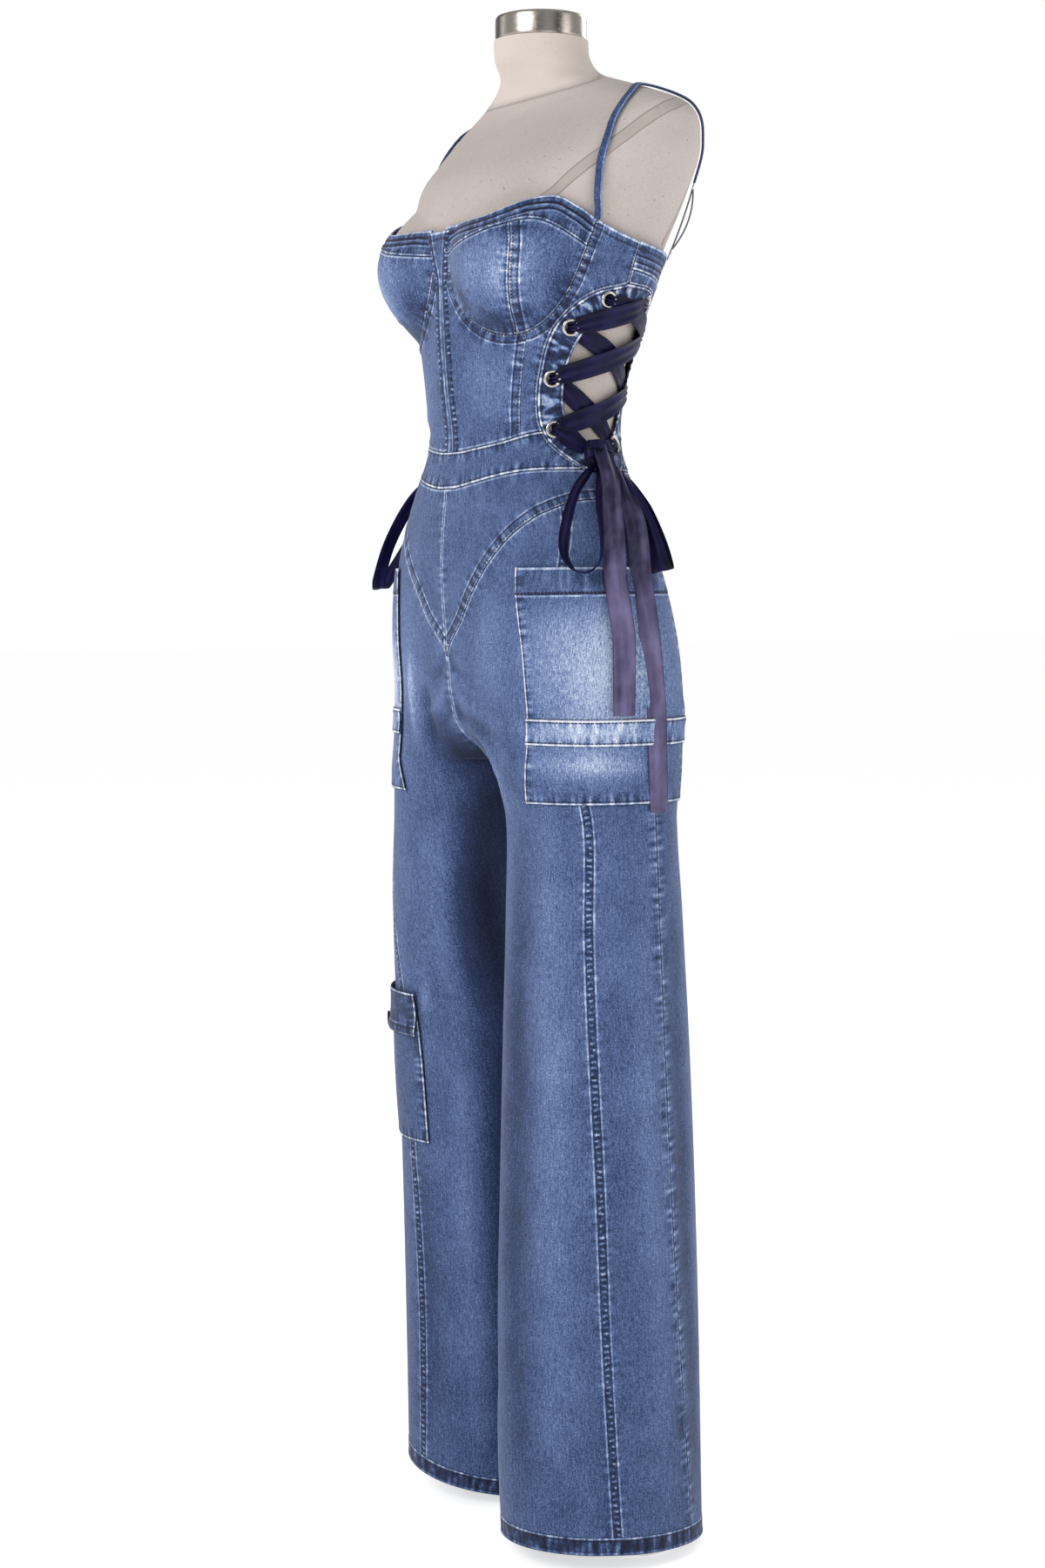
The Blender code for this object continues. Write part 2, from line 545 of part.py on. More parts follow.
def cut_eyelets(pieces, eyelets):
    """Cut the eyelet holes of a facing and its mirror."""
    for piece, side in zip(pieces, (LEFT, RIGHT)):
        for index, (angle, height) in enumerate(eyelets):
            around = torso(np.array([[angle - 1, angle + 1], [angle - 1, angle + 1]], float),
                           np.array([[height - 0.002] * 2, [height + 0.002] * 2]))
            n = normals(around)[0, 0]
            middle = around.reshape(-1, 3).mean(axis=0)
            mirror = np.array([side, 1.0, 1.0])
            n, middle = n * mirror, middle * mirror + SHIFT
            across = np.cross(n, [0.0, 0.0, 1.0])
            across /= np.linalg.norm(across)
            up = np.cross(across, n)
            angle_round = np.linspace(0.0, 2.0 * math.pi, 8, endpoint=False)[:, None]
            ring = (np.cos(angle_round) * across + np.sin(angle_round) * up) * EYELET_HOLE
            rings = np.stack([middle + ring * 1.0 + n * depth for depth in (-0.004, 0.005)])
            if np.dot(np.cross(ring[0], ring[1]), n) < 0.0:
                rings = rings[:, ::-1]
            cutter = tube(f"cutter_{piece.name}_{index}", rings - SHIFT, piece.data.materials[0])
            cut = piece.modifiers.new(f"hole_{index}", "BOOLEAN")
            cut.object, cut.operation, cut.solver = cutter, "DIFFERENCE", "EXACT"
            cutter.hide_render = True
            cutter.display_type = "WIRE"


def build_facings(denim):
    """The curved facings that the ribbon is laced through."""
    for name, outer, inner, eyelets in (("lacing_front", FRONT_OUTER, FRONT_INNER, FRONT_EYELETS),
                                        ("lacing_back", BACK_OUTER, BACK_INNER, BACK_EYELETS)):
        out, inn = curve(outer, OUTLINE_POINTS), curve(inner, OUTLINE_POINTS)
        left, right = (out, inn) if name == "lacing_front" else (inn, out)
        flat = ruled(left, right, 3)
        cut_eyelets(pair(name, pull_in(on_torso(flat)), denim), eyelets)


# ---------------------------------------------------------------- trousers

FRONT_STEPS, SIDE_STEPS, BACK_STEPS = 8, 4, 7
POCKET_STEP = 5 / FRONT_STEPS        # the front panel's column that runs along the hip pocket's edge
FORK_ROWS = (0.7420, 0.7435, 0.7480, 0.7570, 0.7720, RISE)
LEG_ROWS, HIP_ROWS = 5, 5
LAYER = 0.0008           # gap between a pocket and the coarser panel under it


def seams(height):
    """Fractions of the ladder seam and the outseam at a height."""
    both = hermite(np.array(LEG_SEAMS), height)
    return both[..., 0], both[..., 1]


def column(steps, part, height):
    """Fraction of one panel's column at each height: part is front, side or back."""
    ladder, outseam = seams(height)
    if part == "front":
        pocket = level(HIP_FRONT, height)
        inner = pocket * steps / POCKET_STEP
        return np.where(steps < POCKET_STEP, inner, pocket + (ladder - pocket) * (steps - POCKET_STEP) / (1 - POCKET_STEP))
    if part == "side":
        return ladder + (outseam - ladder) * steps
    return outseam + (1.0 - outseam) * steps


def meeting(step, part, top):
    """Fraction and height where a panel's column meets the edge above it."""
    high = RISE
    for _ in range(8):
        high = float(top(column(step, part, high)))
    return float(column(step, part, high)), high


def leg_panel(part, count, side, top):
    """Grid of a leg panel from the hem's top edge to a top edge given by a function."""
    columns = []
    for step in np.linspace(0.0, 1.0, count + 1):
        bottom = hem_height(column(step, part, 0.02), side) + HEM_DEEP
        heights = np.concatenate([np.linspace(bottom, HIP_LOW, LEG_ROWS + 1), FORK_ROWS,
                                  np.linspace(RISE, meeting(step, part, top)[1], HIP_ROWS + 1)[1:]])
        columns.append(half(column(step, part, heights), heights, side))
    return np.stack(columns, axis=1)


def leg_pieces(name, grid_of, material):
    """The left piece and the right one, which hangs with its own turn."""
    for label, side in (("left", LEFT), ("right", RIGHT)):
        grid = pull_in(grid_of(side), left=SEAM * 0.75, right=SEAM * 0.75)
        wall(f"{name}_{label}", grid if side == LEFT else mirrored(grid), material, keep_side=side)


def yoke_at(fraction):
    """Height of the yoke seam at a fraction of the half."""
    return level(YOKE, fraction)


def waist_low_at(fraction):
    """Height of the waistband's lower edge at a fraction of the half."""
    return level(WAIST_LOW, 180.0 * fraction)


def yoke_grid(side):
    """The curved V yoke, between its seam and the waistband."""
    foot = [meeting(step, "front", yoke_at) for step in np.linspace(0.0, 1.0, FRONT_STEPS + 1)]
    foot += [meeting(step, "side", yoke_at) for step in np.linspace(0.0, 1.0, SIDE_STEPS + 1)[1:]]
    low = np.array(foot)
    even = np.linspace(0.0, low[-1, 0], len(low))
    mixed = np.column_stack([0.5 * (low[:, 0] + even), 0.0 * even])
    mixed[:, 1] = waist_low_at(mixed[:, 0])
    steps = np.linspace(0.0, 1.0, 6)[:, None, None]
    flat = low + (mixed - low) * steps
    return half(flat[..., 0], flat[..., 1], side)


def build_trousers(denim):
    """Yokes, leg panels and hems."""
    leg_pieces("yoke", yoke_grid, denim)
    leg_pieces("leg_front", lambda side: leg_panel("front", FRONT_STEPS, side, yoke_at), denim)
    leg_pieces("leg_side", lambda side: leg_panel("side", SIDE_STEPS, side, yoke_at), denim)
    leg_pieces("leg_back", lambda side: leg_panel("back", BACK_STEPS, side, waist_low_at), denim)
    fractions = np.linspace(0.0, 1.0, 20, endpoint=False)[None, :]
    for name, side in (("left", LEFT), ("right", RIGHT)):
        low = hem_height(fractions, side)
        grid = half(np.repeat(fractions, 2, axis=0), np.vstack([low, low + HEM_DEEP]), side)
        grid = pull_in(grid, low=0.0, closed=True)
        wall(f"hem_{name}", grid if side == LEFT else mirrored(grid), denim, closed=True)


def patch_grid(heights, front, back, columns, side):
    """Grid of a patch that lies on a leg, with its side edges given at each height."""
    heights = np.asarray(heights, float)[:, None]
    steps = np.linspace(0.0, 1.0, columns)[None, :]
    front, back = np.asarray(front)[:, None], np.asarray(back)[:, None]
    return half(front + (back - front) * steps, heights + 0.0 * steps, side)


def hip_pocket_grid(side):
    """Grid of a hip pocket on the rows and columns of the panels under it."""
    inside = [("front", step / FRONT_STEPS, yoke_at) for step in (5, 6, 7, 8)]
    inside += [("side", step / SIDE_STEPS, yoke_at) for step in (1, 2, 3, 4)]
    inside += [("back", 1 / BACK_STEPS, waist_low_at), (None, 1, waist_low_at)]
    base = [HIP_LOW, 0.7420, 0.7435, 0.7480, 0.7570, HIP_BAND[0], 0.7720, HIP_BAND[1], RISE]
    columns = []
    for part, step, upper in inside:
        high = RISE
        for _ in range(6):
            high = float(upper(HIP_BACK if part is None else column(step, part, high)))
        rise = np.linspace(RISE, high, HIP_ROWS + 1)[1:4]
        heights = np.concatenate([base, np.minimum(rise, HIP_TOP - 0.012), [HIP_TOP]])
        fraction = HIP_BACK + 0.0 * heights if part is None else column(step, part, heights)
        columns.append(half(fraction, heights, side))
    return np.stack(columns, axis=1)


HIP_BAND_ROWS = slice(5, 8)


def build_pockets(denim, steel):
    """Hip pockets with their cross bands, and the flap pocket of the right leg."""
    for name, side in (("left", LEFT), ("right", RIGHT)):
        grid = hip_pocket_grid(side)
        band = grid[HIP_BAND_ROWS]
        if side == RIGHT:
            grid, band = mirrored(grid), mirrored(band)
        wall(f"hip_pocket_{name}", grid, denim, lift=WALL + LAYER)
        wall(f"pocket_band_{name}", band, denim, lift=2 * WALL + LAYER + LIFT)

    rows = np.linspace(CARGO_LOW, CARGO_TOP, 5)
    edges = np.ones(len(rows))
    grid = mirrored(patch_grid(rows, edges * CARGO_SIDES[0], edges * CARGO_SIDES[1], 11, RIGHT))
    wall("flap_pocket", grid, denim, lift=WALL + LAYER)
    rows = np.linspace(FLAP_LOW, FLAP_TOP, 4)
    edges = np.ones(len(rows))
    grid = mirrored(patch_grid(rows, edges * CARGO_SIDES[0] - 0.004, edges * CARGO_SIDES[1] + 0.004, 11, RIGHT))
    curl = np.array([0.0030, 0.0008, 0.0, 0.0])[:, None, None]
    grid = grid + normals(grid) * curl
    flap_lift = 2 * WALL + LAYER + LIFT
    wall("pocket_flap", grid, denim, lift=flap_lift)
    middle = grid[0:2, 5].mean(axis=0)
    n = normals(grid)[0, 5]
    across = np.cross([0.0, 0.0, 1.0], n)
    across /= np.linalg.norm(across)
    up = np.cross(n, across)
    turn = np.linspace(0.0, 2.0 * math.pi, 14, endpoint=False)[:, None]
    ring = np.cos(turn) * across + np.sin(turn) * up
    base = flap_lift + WALL + LIFT
    profile = ((0.0070, base), (0.0075, base + 0.0012), (0.0055, base + 0.0026))
    tube("flap_button", np.stack([middle + ring * radius + n * out for radius, out in profile]), steel)


# ---------------------------------------------------------------- straps and ribbons

STRAP_WIDE, STRAP_THICK = 0.0072, 0.0022
RING_RADIUS, RING_WIRE = 0.0046, 0.0009
STRAP = ((74.0, 1.2445), (71.0, 1.2600), (67.5, 1.2800), (64.0, 1.3000), (61.0, 1.3180), (58.5, 1.3350),
         (60.0, 1.3460), (66.0, 1.3540), (78.0, 1.3610), (92.0, 1.3635), (106.0, 1.3610), (118.0, 1.3530),
         (127.0, 1.3400), (132.0, 1.3230), (135.0, 1.3030), (136.0, 1.2850))


def surface_frame(flat, lift):
    """Points over the torso with the way out and the way across a band that runs along them."""
    flat = np.asarray(flat, float)
    point = on_torso(flat)
    d_angle = torso(flat[:, 0] + 0.5, flat[:, 1]) - torso(flat[:, 0] - 0.5, flat[:, 1])
    d_height = torso(flat[:, 0], flat[:, 1] + 0.001) - torso(flat[:, 0], flat[:, 1] - 0.001)
    n = np.cross(d_angle, d_height)
    n /= np.linalg.norm(n, axis=1, keepdims=True)
    along = np.gradient(point, axis=0)
    across = np.cross(n, along)
    across /= np.linalg.norm(across, axis=1, keepdims=True)
    return point + n * np.asarray(lift).reshape(-1, 1), -across, n


def on_both_sides(name, build):
    """Call a builder for the left side and, mirrored, for the right."""
    build(f"{name}_left", np.array([1.0, 1.0, 1.0]))
    build(f"{name}_right", np.array([-1.0, 1.0, 1.0]))


def mirrored_strip(name, mirror, path, across, face, width, thick, material):
    """A strip on the side that the mirror gives."""
    flip = -1.0 if mirror[0] < 0 else 1.0
    return strip(name, path * mirror, across * mirror * flip, face * mirror, width, thick, material)


def build_straps(denim, webbing, steel):
    """Shoulder straps, the thin adjustable strap behind, its slider and ring."""
    path, across, face = surface_frame(curve(STRAP, 22), 0.0013)
    on_both_sides("strap", lambda name, mirror: mirrored_strip(
        name, mirror, path, across, face, STRAP_WIDE, STRAP_THICK, denim))
    slider = path[-1] + (path[-1] - path[-2]) / np.linalg.norm(path[-1] - path[-2]) * 0.0030
    along = (path[-1] - path[-2]) / np.linalg.norm(path[-1] - path[-2])
    plate = [slider + along * t for t in (-0.0026, 0.0026)]
    on_both_sides("strap_slider", lambda name, mirror: mirrored_strip(
        name, mirror, plate, across[-2:], face[-2:], STRAP_WIDE + 0.0030, STRAP_THICK + 0.0006, steel))
    ring, _, out = surface_frame(((136.0, 1.2190), (136.0, 1.2150)), WALL + 0.0004 + RING_WIRE)
    ring, out = ring[0], out[0]
    side = np.cross(out, [0.0, 0.0, 1.0])
    side /= np.linalg.norm(side)
    up = np.cross(side, out)
    top = ring + up * (RING_RADIUS + RING_WIRE + 0.0004)
    start = plate[1] + along * 0.0004
    steps = np.linspace(0.0, 1.0, 9)[:, None]
    back_path = start + (top - start) * steps + face[-1] * (0.0055 * np.sin(math.pi * steps))
    back_across = across[-1] * (1 - steps) + side * np.sign(np.dot(side, across[-1])) * steps
    back_face = face[-1] * (1 - steps) + out * steps
    on_both_sides("back_strap", lambda name, mirror: mirrored_strip(
        name, mirror, back_path, back_across, back_face, 0.0060, 0.0016, webbing))
    for name, mirror in (("left", 1.0), ("right", -1.0)):
        torus(f"strap_ring_{name}", ring * [mirror, 1, 1], side * [mirror, 1, 1], up * [mirror, 1, 1], steel)


def torus(name, middle, side, up, material):
    """A wire ring in the plane of two directions."""
    out = np.cross(side, up)
    rings, around = 16, 6
    points, faces = [], []
    for i in range(rings):
        turn = 2.0 * math.pi * i / rings
        way = math.cos(turn) * side + math.sin(turn) * up
        for j in range(around):
            bend = 2.0 * math.pi * j / around
            points.append(middle + way * (RING_RADIUS + RING_WIRE * math.cos(bend)) + out * RING_WIRE * math.sin(bend))
    for i in range(rings):
        for j in range(around):
            k, m = (i + 1) % rings, (j + 1) % around
            faces.append((i * around + j, k * around + j, k * around + m, i * around + m))
    return add_object(name, points, faces, material)


# ---------------------------------------------------------------- lacing and bows

TAPE_WIDE = 0.019
OVER, UNDER = WALL + 0.0016, -0.0017      # lift of the ribbon over a facing and under it
KNOT = (90.0, 1.026)
KNOT_SIZE = (0.011, 0.016, 0.013)         # half width, half height, thickness
HANG = 0.862                              # widest part of the hips, from which the tails hang straight

# Tails: angle, height, distance off the torso's surface
TAIL_SHORT = ((93.0, 1.034, 0.0141), (92.5, 1.016, 0.0154), (92.0, 0.997, 0.0170), (89.5, 0.965, 0.0160),
              (84.5, 0.917, 0.0125), (82.7, 0.886, 0.0110), (82.6, 0.850, 0.0105), (83.0, 0.790, 0.0105))
TAIL_LONG = ((95.5, 1.008, 0.0130), (96.5, 0.985, 0.0135), (96.8, 0.960, 0.0130), (92.0, 0.917, 0.0090),
             (90.6, 0.870, 0.0075), (92.0, 0.830, 0.0078), (94.0, 0.790, 0.0082), (97.0, 0.700, 0.0090))

# Loops: the narrow one stands on its edge, the wide one is folded flat
LOOP_NARROW = {LEFT: ((87.0, 1.016), (80.0, 1.006), (71.0, 0.988), (63.5, 0.958), (60.5, 0.936), (63.0, 0.921),
                      (69.0, 0.917), (75.5, 0.927), (78.5, 0.950), (81.5, 0.985), (87.5, 1.012)),
               RIGHT: ((87.0, 1.017), (78.0, 1.006), (66.0, 0.985), (56.0, 0.950), (50.0, 0.920), (50.0, 0.904),
                       (57.0, 0.905), (68.0, 0.925), (76.0, 0.952), (81.5, 0.985), (87.5, 1.012))}
NARROW_OFF = {LEFT: (0.0040, 0.0070, 0.0050), RIGHT: (0.0040, 0.0130, 0.0045)}
LOOP_WIDE = ((92.5, 1.020, 0.0100), (98.0, 1.000, 0.0105), (103.0, 0.970, 0.0105), (107.5, 0.940, 0.0110),
             (110.0, 0.922, 0.0100), (110.2, 0.917, 0.0075), (109.0, 0.923, 0.0052), (106.0, 0.942, 0.0050),
             (101.5, 0.970, 0.0050), (97.0, 0.998, 0.0050), (92.5, 1.016, 0.0050))


def spread(rows, count):
    """Rows of a short table read smoothly at even steps."""
    rows = np.array(rows, float)
    table = np.column_stack([np.arange(len(rows)), rows])
    return hermite(table, np.linspace(0.0, len(rows) - 1.0, count))


def hung(rows, count):
    """Path over the hips that hangs straight below their widest part."""
    line = spread(rows, count)
    flat = np.column_stack([line[:, 0], np.maximum(line[:, 1], HANG)])
    flat[:, 1] += np.linspace(1e-6, 0.0, len(flat))
    point = on_torso(flat)
    _, _, out = surface_frame(flat, 0.0)
    out[line[:, 1] < HANG, 2] = 0.0
    out /= np.linalg.norm(out, axis=1, keepdims=True)
    point = point + out * line[:, 2:]
    below = line[:, 1] < HANG
    point[below, 2] = line[below, 1]
    level_across = np.column_stack([-out[:, 1], out[:, 0], 0.0 * out[:, 0]])
    level_across /= np.linalg.norm(level_across, axis=1, keepdims=True)
    return point, level_across, out


def run(name, start, stop, ends, middle, material):
    """One run of the lacing between two eyelets, over or under the facing at each end."""
    start, stop = np.array(start), np.array(stop)
    length = float(np.linalg.norm((stop - start) * np.array([ARC, 1.0])))
    places, lifts, widths = [], [], []
    shape = {"over": ((-0.0020, -0.0012, 0.0060), (0.0015, -0.0010, 0.0060), (0.0058, OVER, 0.0085),
                      (0.0140, OVER, TAPE_WIDE - 0.002)),
             "under": ((-0.0020, UNDER, 0.0060), (0.0030, UNDER, 0.0065), (0.0080, UNDER, 0.0130),
                       (0.0160, UNDER, TAPE_WIDE - 0.002)),
             "free": ((0.0, OVER, 0.0120), (0.0040, OVER, 0.0140))}
    first, last = shape[ends[0]], shape[ends[1]]
    for place, lift, width in first:
        places.append(place / length), lifts.append(lift), widths.append(width)
    inner = np.linspace(first[-1][0] / length, 1.0 - last[-1][0] / length, len(middle) + 2)[1:-1]
    for place, lift in zip(inner, middle):
        places.append(place), lifts.append(lift), widths.append(TAPE_WIDE)
    for place, lift, width in last[::-1]:
        places.append(1.0 - place / length), lifts.append(lift), widths.append(width)
    flat = start + (stop - start) * np.array(places)[:, None]
    path, across, face = surface_frame(flat, np.array(lifts))
    return path, across, face, np.array(widths)


def unite(base, others):
    """Join overlapping solids to a base piece."""
    for index, other in enumerate(others):
        join = base.modifiers.new(f"join_{index}", "BOOLEAN")
        join.object, join.operation, join.solver = other, "UNION", "EXACT"
        other.hide_render = True
        other.display_type = "WIRE"


def build_lacing(satin):
    """One ribbon on each side, through all eight eyelets, with both ends at the bow."""
    f, b = FRONT_EYELETS, BACK_EYELETS
    flat, low = [OVER] * 3, [UNDER] * 3
    high = OVER + 0.0017
    runs = [(f[0], b[1], ("over", "over"), flat), (f[1], b[2], ("over", "over"), [OVER] * 4),
            (f[2], b[3], ("over", "over"), [high] * 3), (f[1], b[0], ("under", "under"), low),
            (f[2], b[1], ("under", "under"), low),
            (f[3], b[2], ("over", "over"), [OVER + 0.0003] * 3),
            (f[3], b[3], ("under", "under"), [UNDER] * 2),
            (f[0], (83.1, 1.0340), ("over", "free"), [OVER]), (b[0], (97.1, 1.0305), ("over", "free"), [])]
    for name, side in (("left", LEFT), ("right", RIGHT)):
        mirror = np.array([float(side), 1.0, 1.0])
        strips = []
        for index, (start, stop, ends, middle) in enumerate(runs):
            path, across, face, widths = run(name, start, stop, ends, middle, satin)
            label = f"lacing_{name}" if index == 0 else f"cutter_lacing_{name}_{index}"
            strips.append(mirrored_strip(label, mirror, path, across, face, widths, TAPE_WALL, satin))
        unite(strips[0], strips[1:])


def build_bows(satin):
    """Knots with their two loops, and the free tails."""
    half_wide, half_high, thick = KNOT_SIZE
    heights = KNOT[1] + half_high * np.array([-1.0, -0.82, -0.45, 0.0, 0.45, 0.82, 1.0])
    swell = np.array([0.62, 0.84, 1.0, 1.0, 1.0, 0.84, 0.62])
    flat = np.column_stack([0.0 * heights + KNOT[0], heights])
    base, _, face = surface_frame(flat, WALL + 0.0006)
    turn = np.linspace(0.0, 2.0 * math.pi, 12, endpoint=False)
    wide = np.sign(np.cos(turn)) * abs(np.cos(turn))**0.7
    deep = np.sign(np.sin(turn)) * abs(np.sin(turn))**0.7
    rings = []
    for centre, out, size in zip(base, face, swell):
        side = np.cross(out, [0.0, 0.0, 1.0])
        side /= np.linalg.norm(side)
        level_out = np.cross([0.0, 0.0, 1.0], side)
        level_out *= np.sign(np.dot(level_out, out))
        rings.append(centre + wide[:, None] * side * half_wide * size
                     + (deep[:, None] * 0.5 + 0.5) * level_out * thick * (0.55 + 0.45 * size))
    rings = np.array(rings)
    wide_path, _, wide_face = hung(LOOP_WIDE, 17)
    wide_along = np.gradient(wide_path, axis=0)
    down = wide_path[6] - wide_path[0]
    down /= np.linalg.norm(down)
    side = np.cross(down, wide_face[6])
    side /= np.linalg.norm(side)
    fold_face = np.cross(wide_along, side)
    fold_face /= np.linalg.norm(fold_face, axis=1, keepdims=True)
    widths = TAPE_WIDE * np.interp(np.linspace(0, 1, 17), (0, 0.2, 0.5, 0.8, 1), (0.45, 0.9, 1.2, 0.9, 0.45))
    short, long = hung(TAIL_SHORT, 13), hung(TAIL_LONG, 14)
    for name, side_sign in (("left", LEFT), ("right", RIGHT)):
        mirror = np.array([float(side_sign), 1.0, 1.0])
        knot = tube(f"bow_{name}", rings * mirror, satin)
        wide_loop = mirrored_strip(f"cutter_wide_{name}", mirror, wide_path, np.repeat(side[None], 17, axis=0),
                                   fold_face, widths, TAPE_WALL, satin)
        line = spread(LOOP_NARROW[side_sign], 17)
        near, mid, far = NARROW_OFF[side_sign]
        off = np.interp(np.linspace(0, 1, 17), (0, 0.45, 1), (near, mid, far))
        path, across, face = surface_frame(line, off)
        breadth = np.interp(np.linspace(0, 1, 17), (0, 0.12, 0.5, 0.88, 1), (0.007, 0.013, 0.017, 0.013, 0.007))
        centre = path + face * breadth[:, None] / 2
        narrow_loop = mirrored_strip(f"cutter_narrow_{name}", mirror, centre, face, across, breadth, TAPE_WALL, satin)
        unite(knot, [wide_loop, narrow_loop])
        for label, (tail_path, tail_across, tail_face), size in (("tail_short", short, 0.0215),
                                                                  ("tail_long", long, 0.0200)):
            width = size * np.interp(np.linspace(0, 1, len(tail_path)), (0, 0.12, 1), (0.6, 1.0, 1.0))
            mirrored_strip(f"{label}_{name}", mirror, tail_path, tail_across, tail_face, width, TAPE_WALL, satin)


def main():
    """Build every piece."""
    for thing in list(bpy.data.objects):
        bpy.data.objects.remove(thing, do_unlink=True)
    denim = finish("denim", (0.10, 0.17, 0.36))
    facing = finish("denim_dark", (0.06, 0.10, 0.24))
    linen = finish("linen", (0.48, 0.45, 0.42))
    steel = finish("steel", (0.72, 0.70, 0.68), 0.3, 1.0)
    paint = finish("white_paint", (0.80, 0.80, 0.79), 0.5)
    satin = finish("satin", (0.03, 0.025, 0.10), 0.4)
    webbing = finish("webbing", (0.30, 0.32, 0.42))
    build_form(linen, steel, paint)
    build_cups(denim)
    build_bodice(denim)
    build_waistband(denim)
    build_facings(facing)
    build_trousers(denim)
    build_pockets(denim, steel)
    build_straps(denim, webbing, steel)
    build_lacing(satin)
    build_bows(satin)


if __name__ == "__main__":
    main()
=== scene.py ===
"""Looks of a denim jumpsuit with laced sides, worn by a limbless dress form.

Metres, +Z up. The front faces -Y and the wearer's left side is +X. Every sewn piece is a thin
shell over one of two surfaces: the torso, read by an angle round the body and a height, and the
trouser half, read by a fraction from the front seam round to the back seam and a height. The
object stands on the floor at z = 0 after every point is moved by SHIFT.
"""
from __future__ import annotations

import json
import logging
import math
from dataclasses import dataclass
from enum import Enum
from typing import Callable, Sequence

import bpy
import numpy as np
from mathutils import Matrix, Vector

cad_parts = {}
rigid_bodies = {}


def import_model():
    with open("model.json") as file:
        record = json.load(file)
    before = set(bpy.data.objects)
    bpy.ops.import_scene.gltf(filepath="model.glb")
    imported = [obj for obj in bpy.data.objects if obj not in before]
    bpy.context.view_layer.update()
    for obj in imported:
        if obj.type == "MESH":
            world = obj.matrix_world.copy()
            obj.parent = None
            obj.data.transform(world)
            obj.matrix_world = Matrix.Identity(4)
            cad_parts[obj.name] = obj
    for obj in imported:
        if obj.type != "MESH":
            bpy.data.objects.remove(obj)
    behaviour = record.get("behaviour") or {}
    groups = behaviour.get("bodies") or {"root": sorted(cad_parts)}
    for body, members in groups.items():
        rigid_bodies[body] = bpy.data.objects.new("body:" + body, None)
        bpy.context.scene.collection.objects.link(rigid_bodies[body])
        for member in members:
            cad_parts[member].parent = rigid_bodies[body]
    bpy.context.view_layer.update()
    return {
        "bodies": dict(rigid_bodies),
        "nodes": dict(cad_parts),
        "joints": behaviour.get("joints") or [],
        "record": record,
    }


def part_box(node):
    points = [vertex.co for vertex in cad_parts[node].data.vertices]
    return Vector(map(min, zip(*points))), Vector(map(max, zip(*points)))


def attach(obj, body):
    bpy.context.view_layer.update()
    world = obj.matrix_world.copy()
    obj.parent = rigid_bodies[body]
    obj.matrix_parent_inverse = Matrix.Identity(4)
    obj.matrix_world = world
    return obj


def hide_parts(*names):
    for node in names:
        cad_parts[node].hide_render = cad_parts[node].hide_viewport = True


LOG = logging.getLogger("jumpsuit")
LEFT, RIGHT = 1, -1
SIDE_NAME = {LEFT: "left", RIGHT: "right"}
# the cloth's wall, the space under a laid piece, the space under one on top of it,
# and one degree round the torso
WALL, LAYER, LIFT, ARC = 0.0012, 0.0008, 0.0003, 0.0022
# how far past the middle a point still belongs to a side
MIDDLE = 0.001
SHIFT = np.array([-0.00013, -0.01457, 0.0055])
Array = np.ndarray
Frame = tuple[np.ndarray, np.ndarray, np.ndarray]


def linear(red: float, green: float, blue: float) -> tuple[float, float, float]:
    """Turn a display colour of 0 to 255 into the shader's linear colour.

    Args:
        red, green, blue: display values.

    Returns:
        The linear colour: (c + 0.055) / 1.055 to the power 2.4, or c / 12.92 where it is dark.
    """
    values = [v / 255.0 for v in (red, green, blue)]
    return tuple(((v + 0.055) / 1.055) ** 2.4 if v > 0.04045 else v / 12.92 for v in values)


# ---------------------------------------------------------------- shader maths

def operator(operation: str, reflected: bool = False) -> Callable[["Value", "Value | float"], "Value"]:
    """Make an arithmetic operator; a reflected one has its two sides the other way round."""
    def method(self: "Value", other: "Value | float") -> "Value":
        """Add the operator's Math node."""
        return self.math(operation, *((other, self) if reflected else (self, other)))
    return method


class Value:
    """A socket of a material; arithmetic on it adds Math nodes."""

    def __init__(self, tree: "Tree", socket: bpy.types.NodeSocket) -> None:
        """Wrap one output socket of a tree."""
        self.tree, self.socket = tree, socket

    def math(self, operation: str, *values: "Value | float", clamp: bool = False) -> "Value":
        """Add one Math node that reads the given values in order."""
        return self.tree.node("ShaderNodeMath", {"operation": operation, "use_clamp": clamp}, list(values))

    __add__ = __radd__ = operator("ADD")
    __mul__ = __rmul__ = operator("MULTIPLY")
    __sub__, __rsub__ = operator("SUBTRACT"), operator("SUBTRACT", reflected=True)
    __truediv__, __rtruediv__ = operator("DIVIDE"), operator("DIVIDE", reflected=True)

    def __abs__(self) -> "Value":
        """Size without its sign."""
        return self.math("ABSOLUTE", self)

    def unit(self) -> "Value":
        """Keep the value from 0 to 1."""
        return self.math("ADD", self, 0.0, clamp=True)

    def fraction(self) -> "Value":
        """Part after the whole number."""
        return self.math("FRACT", self)

    def rise(self, low: float, high: float) -> "Value":
        """Smooth step from 0 at low to 1 at high."""
        return self.tree.node("ShaderNodeMapRange", {"interpolation_type": "SMOOTHSTEP"},
                              {"Value": self, "From Min": low, "From Max": high})

    def line(self, middle: float, width: float) -> "Value":
        """1 on a line at middle, falling to 0 at a width to either side."""
        return 1.0 - abs(self - middle).rise(width * 0.35, width)

    def dashes(self, pitch: float, share: float) -> "Value":
        """1 on the stitches and 0 on the gaps of a row with this pitch."""
        return 1.0 - abs((self / pitch).fraction() - 0.5).rise(share * 0.42, share * 0.55)


